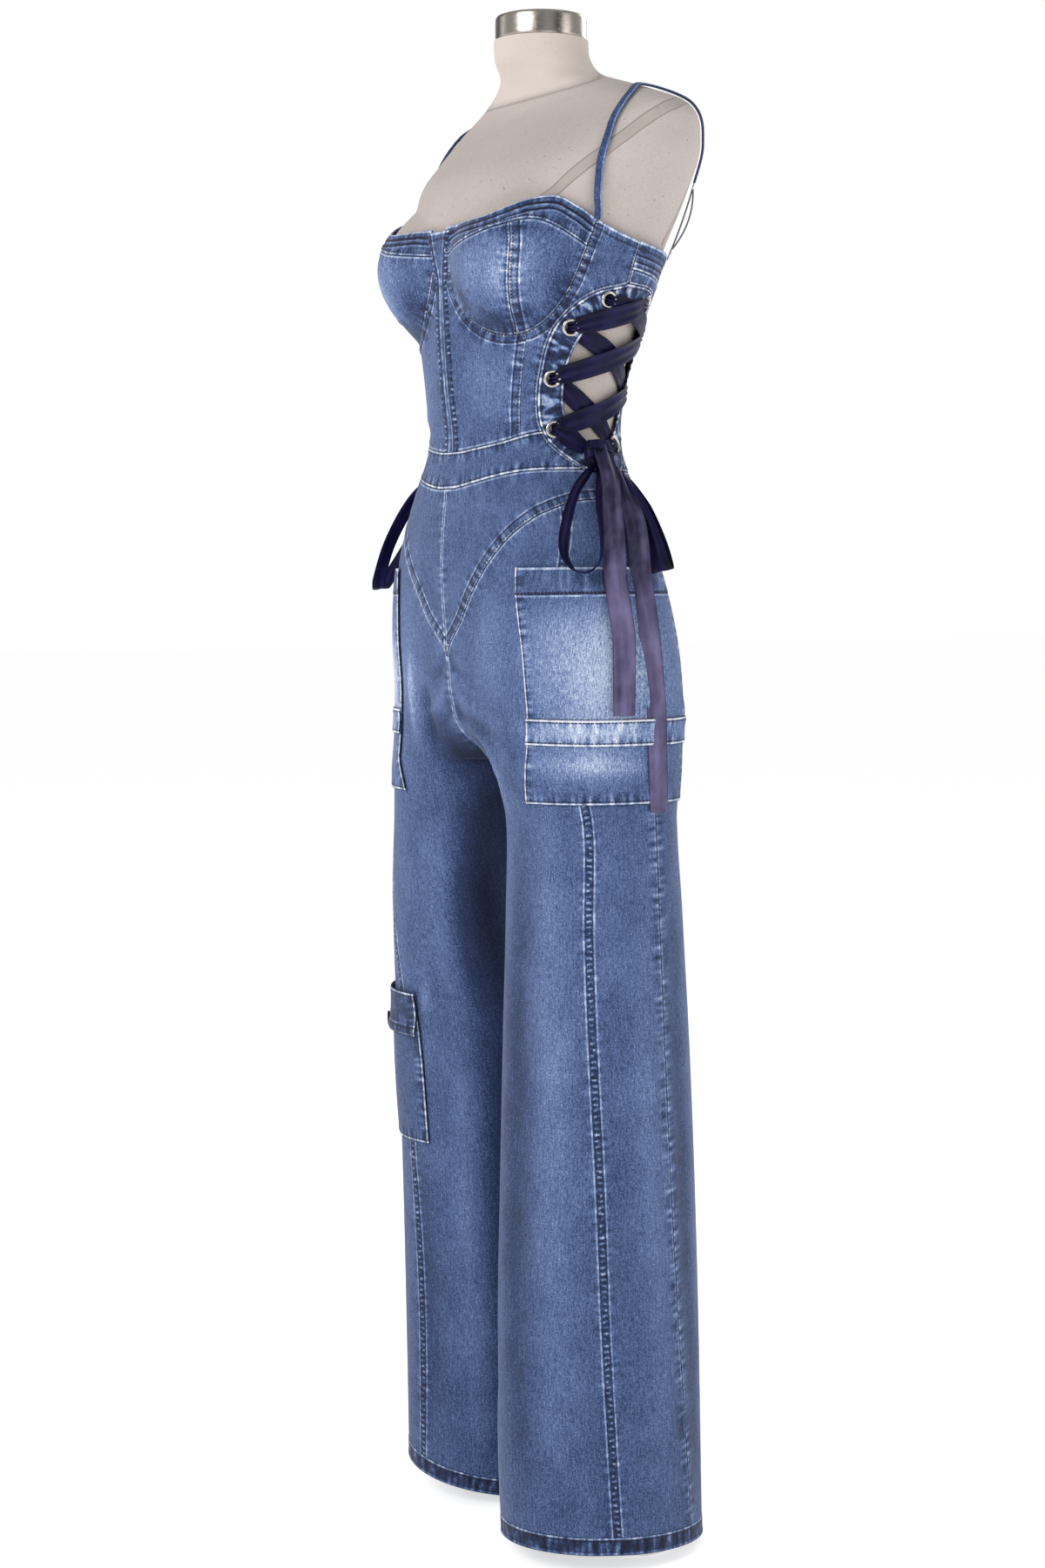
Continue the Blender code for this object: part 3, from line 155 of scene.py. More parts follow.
class Tree:
    """A material's node tree, built from Python expressions."""

    def __init__(self, name: str) -> None:
        """Start a material with its Principled shader."""
        self.material = bpy.data.materials.new(name)
        self.material.use_nodes = True
        self.shader = self.material.node_tree.nodes["Principled BSDF"]

    def node(self, kind: str, settings: dict, inputs: list | dict, output: int | str = 0) -> Value:
        """Add any node.

        Args:
            kind: the node's type.
            settings: what is set on the node first; "stops" fills a colour ramp.
            inputs: values or links, in order or by name.
            output: which output is wanted.

        Returns:
            The wanted output as a Value.
        """
        node = self.material.node_tree.nodes.new(kind)
        for key, value in settings.items():
            if key == "stops":
                ramp = node.color_ramp
                while len(ramp.elements) < len(value):
                    ramp.elements.new(0.5)
                for element, (place, colour) in zip(ramp.elements, value):
                    element.position, element.color = place, (*colour, 1.0)
            else:
                setattr(node, key, value)
        for key, value in (inputs.items() if isinstance(inputs, dict) else enumerate(inputs)):
            self.put(node.inputs[key], value)
        return Value(self, node.outputs[output])

    def put(self, socket: bpy.types.NodeSocket, value: object) -> None:
        """Link a Value to a socket, or set a constant on it."""
        if isinstance(value, Value):
            self.material.node_tree.links.new(value.socket, socket)
        elif isinstance(value, tuple) and socket.type == "RGBA":
            socket.default_value = (*value[:3], 1.0)
        else:
            socket.default_value = value

    def set(self, **values: object) -> None:
        """Set the shader's sockets by name, with underscores for spaces."""
        for key, value in values.items():
            self.put(self.shader.inputs[key.replace("_", " ")], value)

    def attribute(self, name: str) -> Value:
        """Read a number that the mesh carries at each vertex."""
        return self.node("ShaderNodeAttribute", {"attribute_name": name}, [], "Fac")

    def split(self, vector: Value) -> list[Value]:
        """The three numbers of a vector."""
        return [self.node("ShaderNodeSeparateXYZ", {}, [vector], i) for i in range(3)]

    def uv(self) -> list[Value]:
        """Distance across and along the cloth, in metres, from the piece's own map."""
        return self.split(self.node("ShaderNodeUVMap", {"uv_map": "cloth"}, []))[:2]

    def noise(self, across: Value | float, along: Value | float, third: Value | float = 0.0,
              detail: float = 2.0) -> Value:
        """Smooth random value from about 0 to 1 at a place."""
        where = self.node("ShaderNodeCombineXYZ", {}, [across, along, third])
        settings = {"Vector": where, "Scale": 1.0, "Detail": detail, "Roughness": 0.6}
        return self.node("ShaderNodeTexNoise", {}, settings)

    def ramp(self, value: Value, stops: Sequence[tuple[float, tuple]]) -> Value:
        """Colour of a value on a ramp."""
        return self.node("ShaderNodeValToRGB", {"stops": stops}, [value])

    def mix(self, share: Value | float, first: object, second: object) -> Value:
        """Blend two colours."""
        return self.node("ShaderNodeMix", {"data_type": "RGBA"}, {0: share, 6: first, 7: second}, 2)

    def bump(self, height: Value, strength: float = 1.0) -> Value:
        """Normal of a height in millimetres."""
        return self.node("ShaderNodeBump", {}, {"Strength": strength, "Distance": 0.001, "Height": height})


# ---------------------------------------------------------------- finishes

class Seam(Enum):
    """How an edge of a sewn piece is made."""

    NONE = "none"
    PLAIN = "plain"
    TOP = "topstitched"
    DOUBLE = "double row"
    LADDER = "ladder"
    STRIP = "wide ladder"
    CHANNEL = "wire channel"
    EDGED = "worn edge"
    FOLDED = "folded edge"
    HEMMED = "wide hem"
    OUT = "puckered outseam"
    ROPED = "roped hem"


# each seam by its own name, in the order above
NONE, PLAIN, TOP, DOUBLE, LADDER, STRIP, CHANNEL, EDGED, FOLDED, HEMMED, OUT, ROPED = Seam


@dataclass(frozen=True)
class SeamLook:
    """Sizes of an edge: rows of stitches, worn line, raised band and puckers."""

    rows: tuple[float, ...]
    worn: float
    band: float
    pucker: float
    lines: tuple[float, ...] = ()
    ladder: bool = False
    groove: float = 1.0
    tube: float = 0.0
    shade: float = 0.0


LOOKS = {
    NONE: SeamLook((), 0.0, 0.0, 0.0, groove=0.0),
    PLAIN: SeamLook((), 0.6, 0.004, 0.3),
    TOP: SeamLook((0.0024,), 0.7, 0.004, 0.45),
    DOUBLE: SeamLook((0.002, 0.008), 0.8, 0.009, 0.55, (0.0097,), groove=1.2, tube=0.0003, shade=0.03),
    LADDER: SeamLook((), 0.0, 0.004, 0.3, (0.0048,), ladder=True, groove=0.0),
    STRIP: SeamLook((), 0.0, 0.007, 0.3, (0.0082,), ladder=True, groove=0.0),
    CHANNEL: SeamLook((0.0016, 0.0076), 0.85, 0.008, 0.7, (0.009,), groove=1.5, tube=0.0011, shade=0.04),
    EDGED: SeamLook((0.003,), 1.0, 0.005, 0.6, groove=1.5),
    FOLDED: SeamLook((0.007,), 1.0, 0.007, 0.4, groove=0.2),
    HEMMED: SeamLook((0.0234, 0.0243), 0.9, 0.024, 0.3, (0.0262,), groove=0.2),
    OUT: SeamLook((), 0.36, 0.005, 0.5, groove=1.3),
    ROPED: SeamLook((), 0.5, 0.01, 0.5, groove=0.3),
}
EDGE_NAMES = ("from_left", "from_right", "from_low", "from_high")
RUN_NAMES = ("run_left", "run_right", "run_low", "run_high")


@dataclass(frozen=True)
class Noise:
    """A smooth noise on cloth: its changes in a metre across and along, which one it is, and its detail."""

    across: float
    along: float
    which: float = 0.0
    detail: float = 2.0

    def read(self, tree: Tree, across: Value, along: Value, shift: float = 0.0) -> Value:
        """Value of the noise; a shift gives another of its kind."""
        return tree.noise(across * self.across, along * self.along, self.which + shift, self.detail)


@dataclass(frozen=True)
class Wash:
    """What all the denim shares: noises, stitch sizes, and how far each thing moves the lightness."""

    slub: Noise = Noise(820.0, 190.0)
    streak: Noise = Noise(420.0, 42.0, 3.0, 1.0)
    speck: Noise = Noise(780.0, 640.0, 7.0, 1.0)
    cloud: Noise = Noise(24.0, 15.0, 11.0, 3.0)
    blotch: Noise = Noise(60.0, 105.0, 17.0, 1.0)
    uneven: Noise = Noise(95.0, 160.0, 21.0, 1.0)
    ripple: Noise = Noise(210.0, 34.0, 31.0, 0.0)
    rolled: Noise = Noise(120.0, 60.0, 41.0, 1.0)
    twill: float = 1150.0
    base: float = 0.41
    # how far the worn attribute moves the lightness: washed patches, and painted shade where it is negative
    worn: float = 0.54
    # how far the crease height moves the lightness: lighter on raised creases as wear, darker in the troughs as
    # painted shade
    bend: float = 0.11
    pucker: float = 1.75
    edge: float = 0.78
    groove: float = 0.42
    row: float = 0.001
    row_shadow: float = 0.002
    pitch: float = 0.0034
    rung_pitch: float = 0.0056
    colours: tuple = ((0.0, linear(16, 22, 43)), (0.28, linear(43, 58, 95)), (0.47, linear(83, 104, 148)),
                      (0.62, linear(116, 136, 177)), (0.8, linear(176, 188, 214)), (1.0, linear(228, 232, 241)))
    thread: tuple[float, float, float] = linear(38, 32, 46)


WASH = Wash()


@dataclass(frozen=True)
class Denim:
    """Washed mid-blue twill with slubs, fades, worn seams and stitches, and painted shade in its creases, fork and
    hollows.
    """

    edges: tuple[Seam, Seam, Seam, Seam] = (NONE,) * 4
    tone: float = 0.0
    mottle: float = 0.0
    ridges: tuple[float, ...] = ()

    def material(self) -> bpy.types.Material:
        """Build the material.

        Returns:
            Denim whose lightness is one number: slub and speckle noise, plus the piece's worn
            attribute, which holds washed patches and painted shade, plus the crease height, lighter
            on raised creases as wear and darker in troughs as painted shade, plus lines and
            puckers at each edge by the distance from it, read on a ramp from indigo to nearly
            white. Stitches are dashes along their row.
        """
        tree = Tree("denim")
        u, v = tree.uv()
        worn, bend = tree.attribute("worn"), tree.attribute("bend")
        warp, weft = tree.attribute("grain_across"), tree.attribute("grain_along")
        slub, streak, speck, cloud = (
            noise.read(tree, warp, weft) for noise in (WASH.slub, WASH.streak, WASH.speck, WASH.cloud))
        # bend lightens raised creases as wear and darkens the troughs as painted shade; worn brings washed patches
        # and painted shade
        light = ((slub - 0.5) * 0.5 + (streak - 0.5) * 0.2 + (speck - 0.5) * 0.55 + (cloud - 0.5) * 0.22
                 + (WASH.base + self.tone) + worn * (0.8 + (slub - 0.5) * 0.6) * WASH.worn + bend * WASH.bend)
        height = (slub - 0.5) * 0.16 + (speck - 0.5) * 0.1 + ((warp + weft) * WASH.twill).fraction() * 0.012
        if self.mottle:
            curved = self.edges[0] is not NONE and self.edges[2] is NONE
            place_on = (tree.attribute("from_left"), tree.attribute("run_left")) if curved else (u, v)
            blotch = WASH.blotch.read(tree, *place_on)
            light = light + (blotch.rise(0.46, 0.66) - 0.45) * self.mottle
            height = height + blotch * (2.2 * self.mottle)
        stitches: Value | float = 0.0
        for index, kind in enumerate(self.edges):
            if kind is not NONE:
                light, height, stitches = self.seam(tree, index, LOOKS[kind], light, height, stitches)
        if self.ridges:
            away = tree.attribute("from_high")
            uneven = WASH.rolled.read(tree, u, v)
            for ridge in self.ridges:
                # each ridge: a dark line in the groove between the rolls, which is painted shade, and a pale worn
                # line beside it
                light = light - away.line(ridge, 0.0013) * 0.34 + away.line(ridge + 0.0018, 0.0014) * uneven * 0.42
                height = height - away.line(ridge, 0.0016) * 0.6
        colour = tree.ramp(light, WASH.colours)
        if not isinstance(stitches, float):
            colour = tree.mix((stitches * 0.85).unit(), colour, WASH.thread)
            height = height + stitches * 0.35
        tree.set(Base_Color=colour, Roughness=0.86, Normal=tree.bump(height, 0.9),
                 Sheen_Weight=0.12, Sheen_Roughness=0.5, Specular_IOR_Level=0.25)
        return tree.material

    def seam(self, tree: Tree, index: int, look: SeamLook, light: Value, height: Value,
             stitches: Value | float) -> tuple[Value, Value, Value | float]:
        """Add one edge's puckers, worn lines, groove, ladder and rows of stitches.

        Args:
            tree: the material.
            index: which edge it is.
            look: the edge's sizes.
            light, height, stitches: what the edges before it gave.

        Returns:
            The new lightness, height in millimetres and mask of the stitches.
        """
        away, along = tree.attribute(EDGE_NAMES[index]), tree.attribute(RUN_NAMES[index])
        uneven, ripple = WASH.uneven.read(tree, along, away, index), WASH.ripple.read(tree, along, away, index)
        near = 1.0 - away.rise(look.band * 0.4, look.band + 0.01)
        pucker = (ripple - 0.5) * near * look.pucker
        edge = away.line(0.0013, 0.0017) * (uneven * 0.8 + 0.18) * look.worn
        for line in look.lines:
            edge = edge + away.line(line, 0.0012) * (uneven * 0.9 - 0.05) * 0.8
        groove = (1.0 - away.rise(0.0002, 0.0009)) * look.groove
        shade = (1.0 - away.rise(look.band - 0.001, look.band + 0.0015)) * look.shade
        light = light + pucker * WASH.pucker + edge * WASH.edge - groove * WASH.groove - shade
        height = height + pucker * 0.9 + edge * 0.2 - groove * 0.55
        if look.ladder:
            size = look.band / 0.004
            band = 1.0 - away.rise(0.0036 * size, 0.0042 * size)
            wavy = along + (uneven - 0.5) * 0.004
            rung = wavy.dashes(WASH.rung_pitch, 0.4) * (1.0 - away.rise(0.0014 * size, 0.0032 * size))
            light = light + band * (rung * (uneven.rise(0.3, 0.62) * 0.4 + 0.06) - 0.19)
            height = height + band * rung * 0.3
        for row in look.rows:
            mask = away.line(row, WASH.row)
            stitches = stitches + mask * along.dashes(WASH.pitch, 0.74)
            light = light - away.line(row, WASH.row_shadow) * 0.08
            height = height - mask * 0.25
        return light, height, stitches


@dataclass(frozen=True)
class Linen:
    """Grey-beige linen cover with flecks, a neck seam and a tape round the armhole."""

    def material(self) -> bpy.types.Material:
        """Build the material: crossed thread noise, dark flecks where fine noise peaks, and lines by distance."""
        tree = Tree("linen")
        u, v = tree.uv()
        warp, weft = tree.noise(u * 1300.0, v * 150.0), tree.noise(u * 150.0, v * 1300.0, 5.0)
        fleck = tree.noise(u * 240.0, v * 330.0, 9.0, 1.0).rise(0.7, 0.76)
        cloud = tree.noise(u * 12.0, v * 12.0, 13.0)
        light = (warp - 0.5) * 0.5 + (weft - 0.5) * 0.5 + (cloud - 0.5) * 0.25 + 0.5
        cloth = ((0.0, linear(158, 148, 144)), (0.5, linear(190, 180, 175)), (1.0, linear(213, 205, 200)))
        colour = tree.mix(fleck * 0.6, tree.ramp(light, cloth), linear(96, 80, 72))
        tape, neck = tree.attribute("tape"), tree.attribute("neck")
        colour = tree.mix((1.0 - tape.rise(0.0042, 0.0058)) * 0.4, colour, linear(150, 140, 134))
        lines = (tape.line(0.005, 0.0009) * 0.5 + neck.line(0.0, 0.0011) * 0.38).unit()
        colour = tree.mix(lines, colour, linear(120, 110, 104))
        colour = tree.mix(neck.rise(0.0004, 0.006) * 0.42, colour, linear(236, 224, 212))
        height = (warp + weft) * 0.07 + (1.0 - tape.rise(0.0044, 0.0056)) * 0.5 - neck.line(0.0, 0.0014) * 0.5
        tree.set(Base_Color=colour, Roughness=0.92, Normal=tree.bump(height), Sheen_Weight=0.1,
                 Specular_IOR_Level=0.2)
        return tree.material


@dataclass(frozen=True)
class Satin:
    """Navy satin ribbon that shines along its length, partly by its gloss and partly by painted sheen in its
    colour.
    """

    # dark is the shaded end and bright the painted sheen of the ribbon's colour
    dark: tuple[float, float, float]
    bright: tuple[float, float, float]
    paler: float = 0.0

    def material(self) -> bpy.types.Material:
        """Build the material: fine ribs across, streaks along, a woven edge on both sides, and a colour from dark
        to bright that is painted sheen and painted fold shade.
        """
        tree = Tree("satin")
        u, v = tree.uv()
        streak = tree.noise(u * 1900.0, v * 45.0)
        soft = tree.noise(u * 60.0, v * 38.0, 4.0)
        side = tree.attribute("from_left")
        rib = (v * 1500.0).fraction()
        edge = 1.0 - side.rise(0.0003, 0.0011)
        fold = tree.noise(u * 80.0, v * 10.0, 8.0, 1.0)
        # the mix from dark to bright by the streak, soft and fold noises is painted sheen and painted light and
        # shade on folds; paler makes it darker over the first 0.22 m along the ribbon and paler beyond
        light = ((streak - 0.5) * 0.35 + (soft - 0.5) * 0.9 + (fold - 0.5) * 1.5 + 0.4 - edge * 0.3
                 + (v.rise(0.0, 0.22) - 0.75) * self.paler).unit()
        colour = tree.mix(light, self.dark, self.bright)
        tree.set(Base_Color=colour, Roughness=(streak * 0.16 + 0.33).unit(),
                 Normal=tree.bump(streak * 0.05 + rib * 0.008 + soft * 0.35 + fold * 0.9 + edge * 0.12),
                 Sheen_Weight=0.02, Sheen_Roughness=0.35, Sheen_Tint=(0.5, 0.48, 1.0), Specular_IOR_Level=0.15)
        return tree.material


@dataclass(frozen=True)
class Metal:
    """Polished or brushed metal with fine scratches and dull spots."""

    name: str
    colour: tuple[float, float, float]
    rough: float
    brushed: float = 0.0

    def material(self) -> bpy.types.Material:
        """Build the material: lines round the piece from its own height, and a cloud of dullness."""
        tree = Tree(self.name)
        x, y, z = tree.split(tree.node("ShaderNodeTexCoord", {}, [], "Object"))
        lines = tree.noise(z * 5200.0, (x + y) * 25.0, 2.0)
        dull = tree.noise(x * 160.0, y * 160.0, z * 160.0, 3.0)
        dark = tuple(c * 0.72 for c in self.colour)
        tree.set(Base_Color=tree.mix((dull.rise(0.4, 0.8) * 0.15 + lines * self.brushed).unit(),
                                     self.colour, dark),
                 Roughness=(dull * 0.06 + lines * self.brushed * 0.3 + self.rough).unit(), Metallic=1.0,
                 Normal=tree.bump(lines * 0.03 * (1.0 + 4.0 * self.brushed)))
        return tree.material


@dataclass(frozen=True)
class Enamel:
    """Plain white enamel of the stand."""

    def material(self) -> bpy.types.Material:
        """Build the material: even white with faint orange peel."""
        tree = Tree("white_enamel")
        x, y, z = tree.split(tree.node("ShaderNodeTexCoord", {}, [], "Object"))
        peel = tree.noise(x * 420.0, y * 420.0, z * 420.0)
        tree.set(Base_Color=tree.mix(peel, linear(240, 240, 240), linear(250, 250, 250)), Roughness=0.45,
                 Normal=tree.bump(peel * 0.05))
        return tree.material


@dataclass(frozen=True)
class Webbing:
    """Thin grey-blue elastic strap with ribs along it."""

    def material(self) -> bpy.types.Material:
        """Build the material: ribs across the width and a fine weave along it."""
        tree = Tree("webbing")
        u, v = tree.uv()
        rib = abs((u * 900.0).fraction() - 0.5) * 2.0
        weave = tree.noise(u * 1200.0, v * 1600.0)
        light = (rib * 0.4 + weave * 0.5).unit()
        tree.set(Base_Color=tree.mix(light, linear(62, 66, 88), linear(138, 144, 166)), Roughness=0.6,
                 Normal=tree.bump(rib * 0.2 + weave * 0.1))
        return tree.material


# ---------------------------------------------------------------- surfaces

def direction(vectors: Array) -> Array:
    """Vectors divided by their own lengths."""
    return vectors / np.linalg.norm(vectors, axis=-1, keepdims=True)


def circle(count: int) -> Array:
    """Even angles round a circle."""
    return np.linspace(0.0, 2.0 * np.pi, count, endpoint=False)


def squared(turn: Array, x_power: float, y_power: float) -> tuple[Array, Array]:
    """Cosine and sine that keep their signs, with sizes raised to a power; below one it squares the circle."""
    return (np.sign(np.cos(turn)) * abs(np.cos(turn))**x_power, np.sign(np.sin(turn)) * abs(np.sin(turn))**y_power)


def flat_grid(across: Array, height: Array) -> Array:
    """Grid of flat places from their place across and their height."""
    return np.stack(np.broadcast_arrays(across, height), -1)


def to_path(points: Array, path: Array) -> tuple[Array, Array]:
    """Distance from each point to each straight piece of a path, and the place on that piece from 0 to 1."""
    start, step = path[:-1], np.diff(path, axis=0)
    offset = points[:, None] - start[None]
    t = np.clip((offset * step).sum(-1) / (step**2).sum(-1), 0.0, 1.0)
    return np.linalg.norm(offset - t[..., None] * step, axis=-1), t


def run_along(line: Array) -> Array:
    """Length along a line of points, from 0 at its first."""
    return np.concatenate([[0.0], np.cumsum(np.linalg.norm(np.diff(line, axis=0), axis=1))])


def spread(rows: Sequence, count: int) -> Array:
    """Rows of a short table read smoothly at even steps."""
    rows = np.array(rows, float)
    return hermite(np.column_stack([np.arange(len(rows)), rows]), np.linspace(0.0, len(rows) - 1.0, count))


def hermite(table: Array, key: Array) -> Array:
    """Read a table by its first column with a smooth cubic through its rows.

    Args:
        table: rows of a rising key and its values.
        key: where to read it.

    Returns:
        The values, on a last axis.
    """
    key = np.asarray(key, dtype=float)
    keys, values = table[:, 0], table[:, 1:]
    slope = np.empty_like(values)
    slope[1:-1] = (values[2:] - values[:-2]) / (keys[2:] - keys[:-2])[:, None]
    slope[0] = (values[1] - values[0]) / (keys[1] - keys[0])
    slope[-1] = (values[-1] - values[-2]) / (keys[-1] - keys[-2])
    row = np.clip(np.searchsorted(keys, key) - 1, 0, len(keys) - 2)
    span = keys[row + 1] - keys[row]
    t = np.clip((key - keys[row]) / span, 0.0, 1.0)[..., None]
    span = span[..., None]
    return ((2 * t**3 - 3 * t**2 + 1) * values[row] + (t**3 - 2 * t**2 + t) * span * slope[row]
            + (3 * t**2 - 2 * t**3) * values[row + 1] + (t**3 - t**2) * span * slope[row + 1])


def level(pairs: Sequence, key: Array) -> Array:
    """Read a short table of pairs smoothly."""
    return hermite(np.array(pairs, float), key)[..., 0]


def ease(value: Array, low: float, high: float) -> Array:
    """Smooth step from 0 at low to 1 at high: t squared times (3 - 2 t)."""
    t = np.clip((value - low) / (high - low), 0.0, 1.0)
    return t * t * (3.0 - 2.0 * t)


def normals(grid: Array, closed: bool = False) -> Array:
    """Unit normals of a grid: the way along a row crossed with the way up a column."""
    if closed:
        across = np.roll(grid, -1, axis=1) - np.roll(grid, 1, axis=1)
    else:
        across = np.gradient(grid, axis=1)
    n = np.cross(across, np.gradient(grid, axis=0))
    return n / np.maximum(np.linalg.norm(n, axis=-1, keepdims=True), 1e-12)


def coons(low: Array, high: Array, left: Array, right: Array) -> Array:
    """Fill four edges: the two straight blends of opposite edges, less the blend of the corners."""
    u = np.linspace(0.0, 1.0, len(low))[None, :, None]
    v = np.linspace(0.0, 1.0, len(left))[:, None, None]
    sides = (1 - u) * left[:, None] + u * right[:, None]
    ends = (1 - v) * low[None] + v * high[None]
    corners = ((1 - u) * (1 - v) * low[0] + u * (1 - v) * low[-1] + (1 - u) * v * high[0] + u * v * high[-1])
    return sides + ends - corners


def evenly(line: Array, count: int) -> Array:
    """Points of a flat polyline at even distances, where one degree is ARC metres."""
    run = run_along(line * [ARC, 1.0])
    want = np.linspace(0.0, run[-1], count)
    return np.column_stack([np.interp(want, run, line[:, i]) for i in range(2)])


def curve(points: Sequence, count: int) -> Array:
    """Smooth line through flat points (angle, height), evenly spaced by length."""
    points = np.array(points, dtype=float)
    run = run_along(points * [ARC, 1.0])
    return evenly(hermite(np.column_stack([run, points]), np.linspace(0.0, run[-1], 400)), count)


def bunched(count: int, share: float = 0.7) -> Array:
    """Steps from 0 to 1 that stand closer together near both ends."""
    t = np.linspace(0.0, 1.0, count)
    return (1.0 - share) * t + share * (0.5 - 0.5 * np.cos(np.pi * t))


@dataclass(frozen=True)
class Body:
    """The two surfaces that all the cloth lies on."""

    crotch: float = 0.742
    rise: float = 0.8
    bust_angle: float = 41.0
    bust_spread: float = 36.0
    bust_height: float = 1.203
    bust_deep: float = 0.036
    bust_turn: float = math.radians(14.0)
    # height, half width, front, widest and back places along Y, squareness
    torso_rows: tuple = (
        (0.74, 0.17, -0.079, 0.012, 0.108, 2.5), (0.79, 0.173, -0.083, 0.012, 0.104, 2.7),
        (0.86, 0.172, -0.09, 0.01, 0.095, 2.7), (0.93, 0.16, -0.094, 0.006, 0.084, 2.5),
        (0.99, 0.133, -0.09, 0.003, 0.077, 2.3), (1.04, 0.109, -0.083, 0.003, 0.072, 2.15),
        (1.09, 0.111, -0.088, 0.004, 0.078, 2.1), (1.14, 0.121, -0.092, 0.008, 0.092, 2.1),
        (1.19, 0.131, -0.094, 0.014, 0.109, 2.15), (1.24, 0.143, -0.096, 0.022, 0.127, 2.2),
        (1.285, 0.159, -0.079, 0.03, 0.138, 2.2), (1.32, 0.167, -0.044, 0.038, 0.142, 2.2),
        (1.35, 0.163, -0.013, 0.044, 0.128, 2.1), (1.37, 0.112, -0.008, 0.038, 0.096, 2.0),
        (1.388, 0.06, -0.015, 0.027, 0.074, 2.0), (1.405, 0.047, -0.027, 0.018, 0.063, 2.0),
        (1.423, 0.045, -0.029, 0.016, 0.061, 2.0))
    # height, middle X, middle Y of the left and the right leg, half width, half depth, turn of the right leg
    leg_rows: tuple = (
        (0.0, 0.106, 0.018, 0.04, 0.084, 0.099, -74.0), (0.2, 0.103, 0.014, 0.034, 0.084, 0.098, -70.0),
        (0.36, 0.101, 0.013, 0.023, 0.084, 0.092, -60.0), (0.49, 0.098, 0.013, 0.01, 0.084, 0.086, -50.0),
        (0.6, 0.095, 0.013, 0.0, 0.084, 0.08, -25.0), (0.69, 0.091, 0.013, -0.003, 0.084, 0.077, -8.0),
        (0.742, 0.0875, 0.012, 0.0, 0.084, 0.088, 0.0))
    hem_deep: float = 0.017

    def bust(self, angle: Array, height: Array) -> Array:
        """Rise over the plain section: (1 - r squared) to the power 1.2 on an oval round the middle of the cup."""
        side = np.where(angle >= 0.0, 1.0, -1.0)
        reach = np.where(height < self.bust_height, 0.064, 0.066)
        r2 = ((abs(angle) - self.bust_angle) / self.bust_spread)**2 + ((height - self.bust_height) / reach)**2
        rise = self.bust_deep * np.clip(1.0 - r2, 0.0, None)**1.2
        return np.stack([side * rise * math.sin(self.bust_turn), -rise * math.cos(self.bust_turn), 0.0 * rise], -1)

    def torso(self, angle: Array, height: Array) -> Array:
        """Inner face of the cloth round the torso: a rounded oval by angle, whose sizes are read by height."""
        angle, height = np.broadcast_arrays(np.asarray(angle, float), np.asarray(height, float))
        wide, front, side, back, square = np.moveaxis(hermite(np.array(self.torso_rows), height), -1, 0)
        s, c = np.sin(np.radians(angle)), np.cos(np.radians(angle))
        deep = np.where(c > 0.0, side - front, back - side)
        x = wide * np.sign(s) * abs(s)**(2.0 / square)
        y = side - deep * np.sign(c) * abs(c)**(2.0 / square)
        return np.stack([x, y, height + 0.0 * x], -1) + self.bust(angle, height)

    def leg_ring(self, fraction: Array, height: Array, side: int) -> Array:
        """Point of a trouser leg's oval ring, on the left whichever leg it is."""
        mid, left_y, right_y, wide, deep, turn = np.moveaxis(hermite(np.array(self.leg_rows), height), -1, 0)
        angle = np.radians(-90.0 + 360.0 * fraction + (turn if side == RIGHT else 0.0 * turn))
        middle = left_y if side == LEFT else right_y
        return np.stack([mid + wide * np.sin(angle), middle - deep * np.cos(angle), height + 0.0 * angle], -1)

    def trouser(self, fraction: Array, height: Array, side: int) -> Array:
        """Point of the trouser half: the torso high up, blended into the leg ring through the fork."""
        fraction, height = np.broadcast_arrays(np.asarray(fraction, float), np.asarray(height, float))
        around = np.sin(np.pi * fraction)
        bend = 2.5 - 1.5 * ease(height, self.rise, 0.97)
        angle = np.degrees(np.arcsin(np.clip(around, 0.0, 1.0)**bend))
        angle = np.where(fraction <= 0.5, angle, 180.0 - angle)
        drop = np.clip((self.rise - height) / (self.rise - self.crotch), 0.0, 1.0)
        outside = ease(around * 1.25 - 0.1, 0.0, 1.0)
        inner = (1.0 - outside) * (1.0 - np.sqrt(1.0 - drop**2))
        blend = (inner + outside * ease(-height, -0.84, -0.68))[..., None]
        point = ((1.0 - blend) * self.torso(angle, np.maximum(height, self.crotch))
                 + blend * self.leg_ring(fraction, np.minimum(height, self.crotch), side))
        point[..., 2] = height
        return point

    def hem(self, fraction: Array, side: int) -> Array:
        """Height of the hem's lower edge: a mean height and one slow swing round the leg."""
        mean, swing, high = (0.006, 0.008, 30.0) if side == LEFT else (0.012, 0.016, 60.0)
        turn = self.leg_rows[0][6] if side == RIGHT else 0.0
        return mean + swing * np.cos(np.radians(-90.0 + 360.0 * fraction + turn - high))

    def frame_at(self, flat: Array | Sequence, lift: Array | float) -> Frame:
        """Points over the torso with the way across a band that runs along them and the way out."""
        flat = np.asarray(flat, float)
        step = self.torso(flat[:, 0] + 0.5, flat[:, 1]) - self.torso(flat[:, 0] - 0.5, flat[:, 1])
        up = self.torso(flat[:, 0], flat[:, 1] + 0.001) - self.torso(flat[:, 0], flat[:, 1] - 0.001)
        out = direction(np.cross(step, up))
        point = self.torso(flat[:, 0], flat[:, 1])
        across = direction(np.cross(np.gradient(point, axis=0), out))
        return point + out * np.asarray(lift).reshape(-1, 1), across, out


BODY = Body()


class Zone(Enum):
    """Which surface a flat place is read on."""

    TORSO = "torso"
    TROUSER = "trouser"


def place(zone: Zone, flat: Array, side: int) -> Array:
    """Points of flat places on their surface, on the left whichever side it is."""
    flat = np.asarray(flat, float)
    if zone is Zone.TORSO:
        return BODY.torso(flat[..., 0], flat[..., 1])
    return BODY.trouser(flat[..., 0], flat[..., 1], side)


# ---------------------------------------------------------------- creases, wash and painted shade

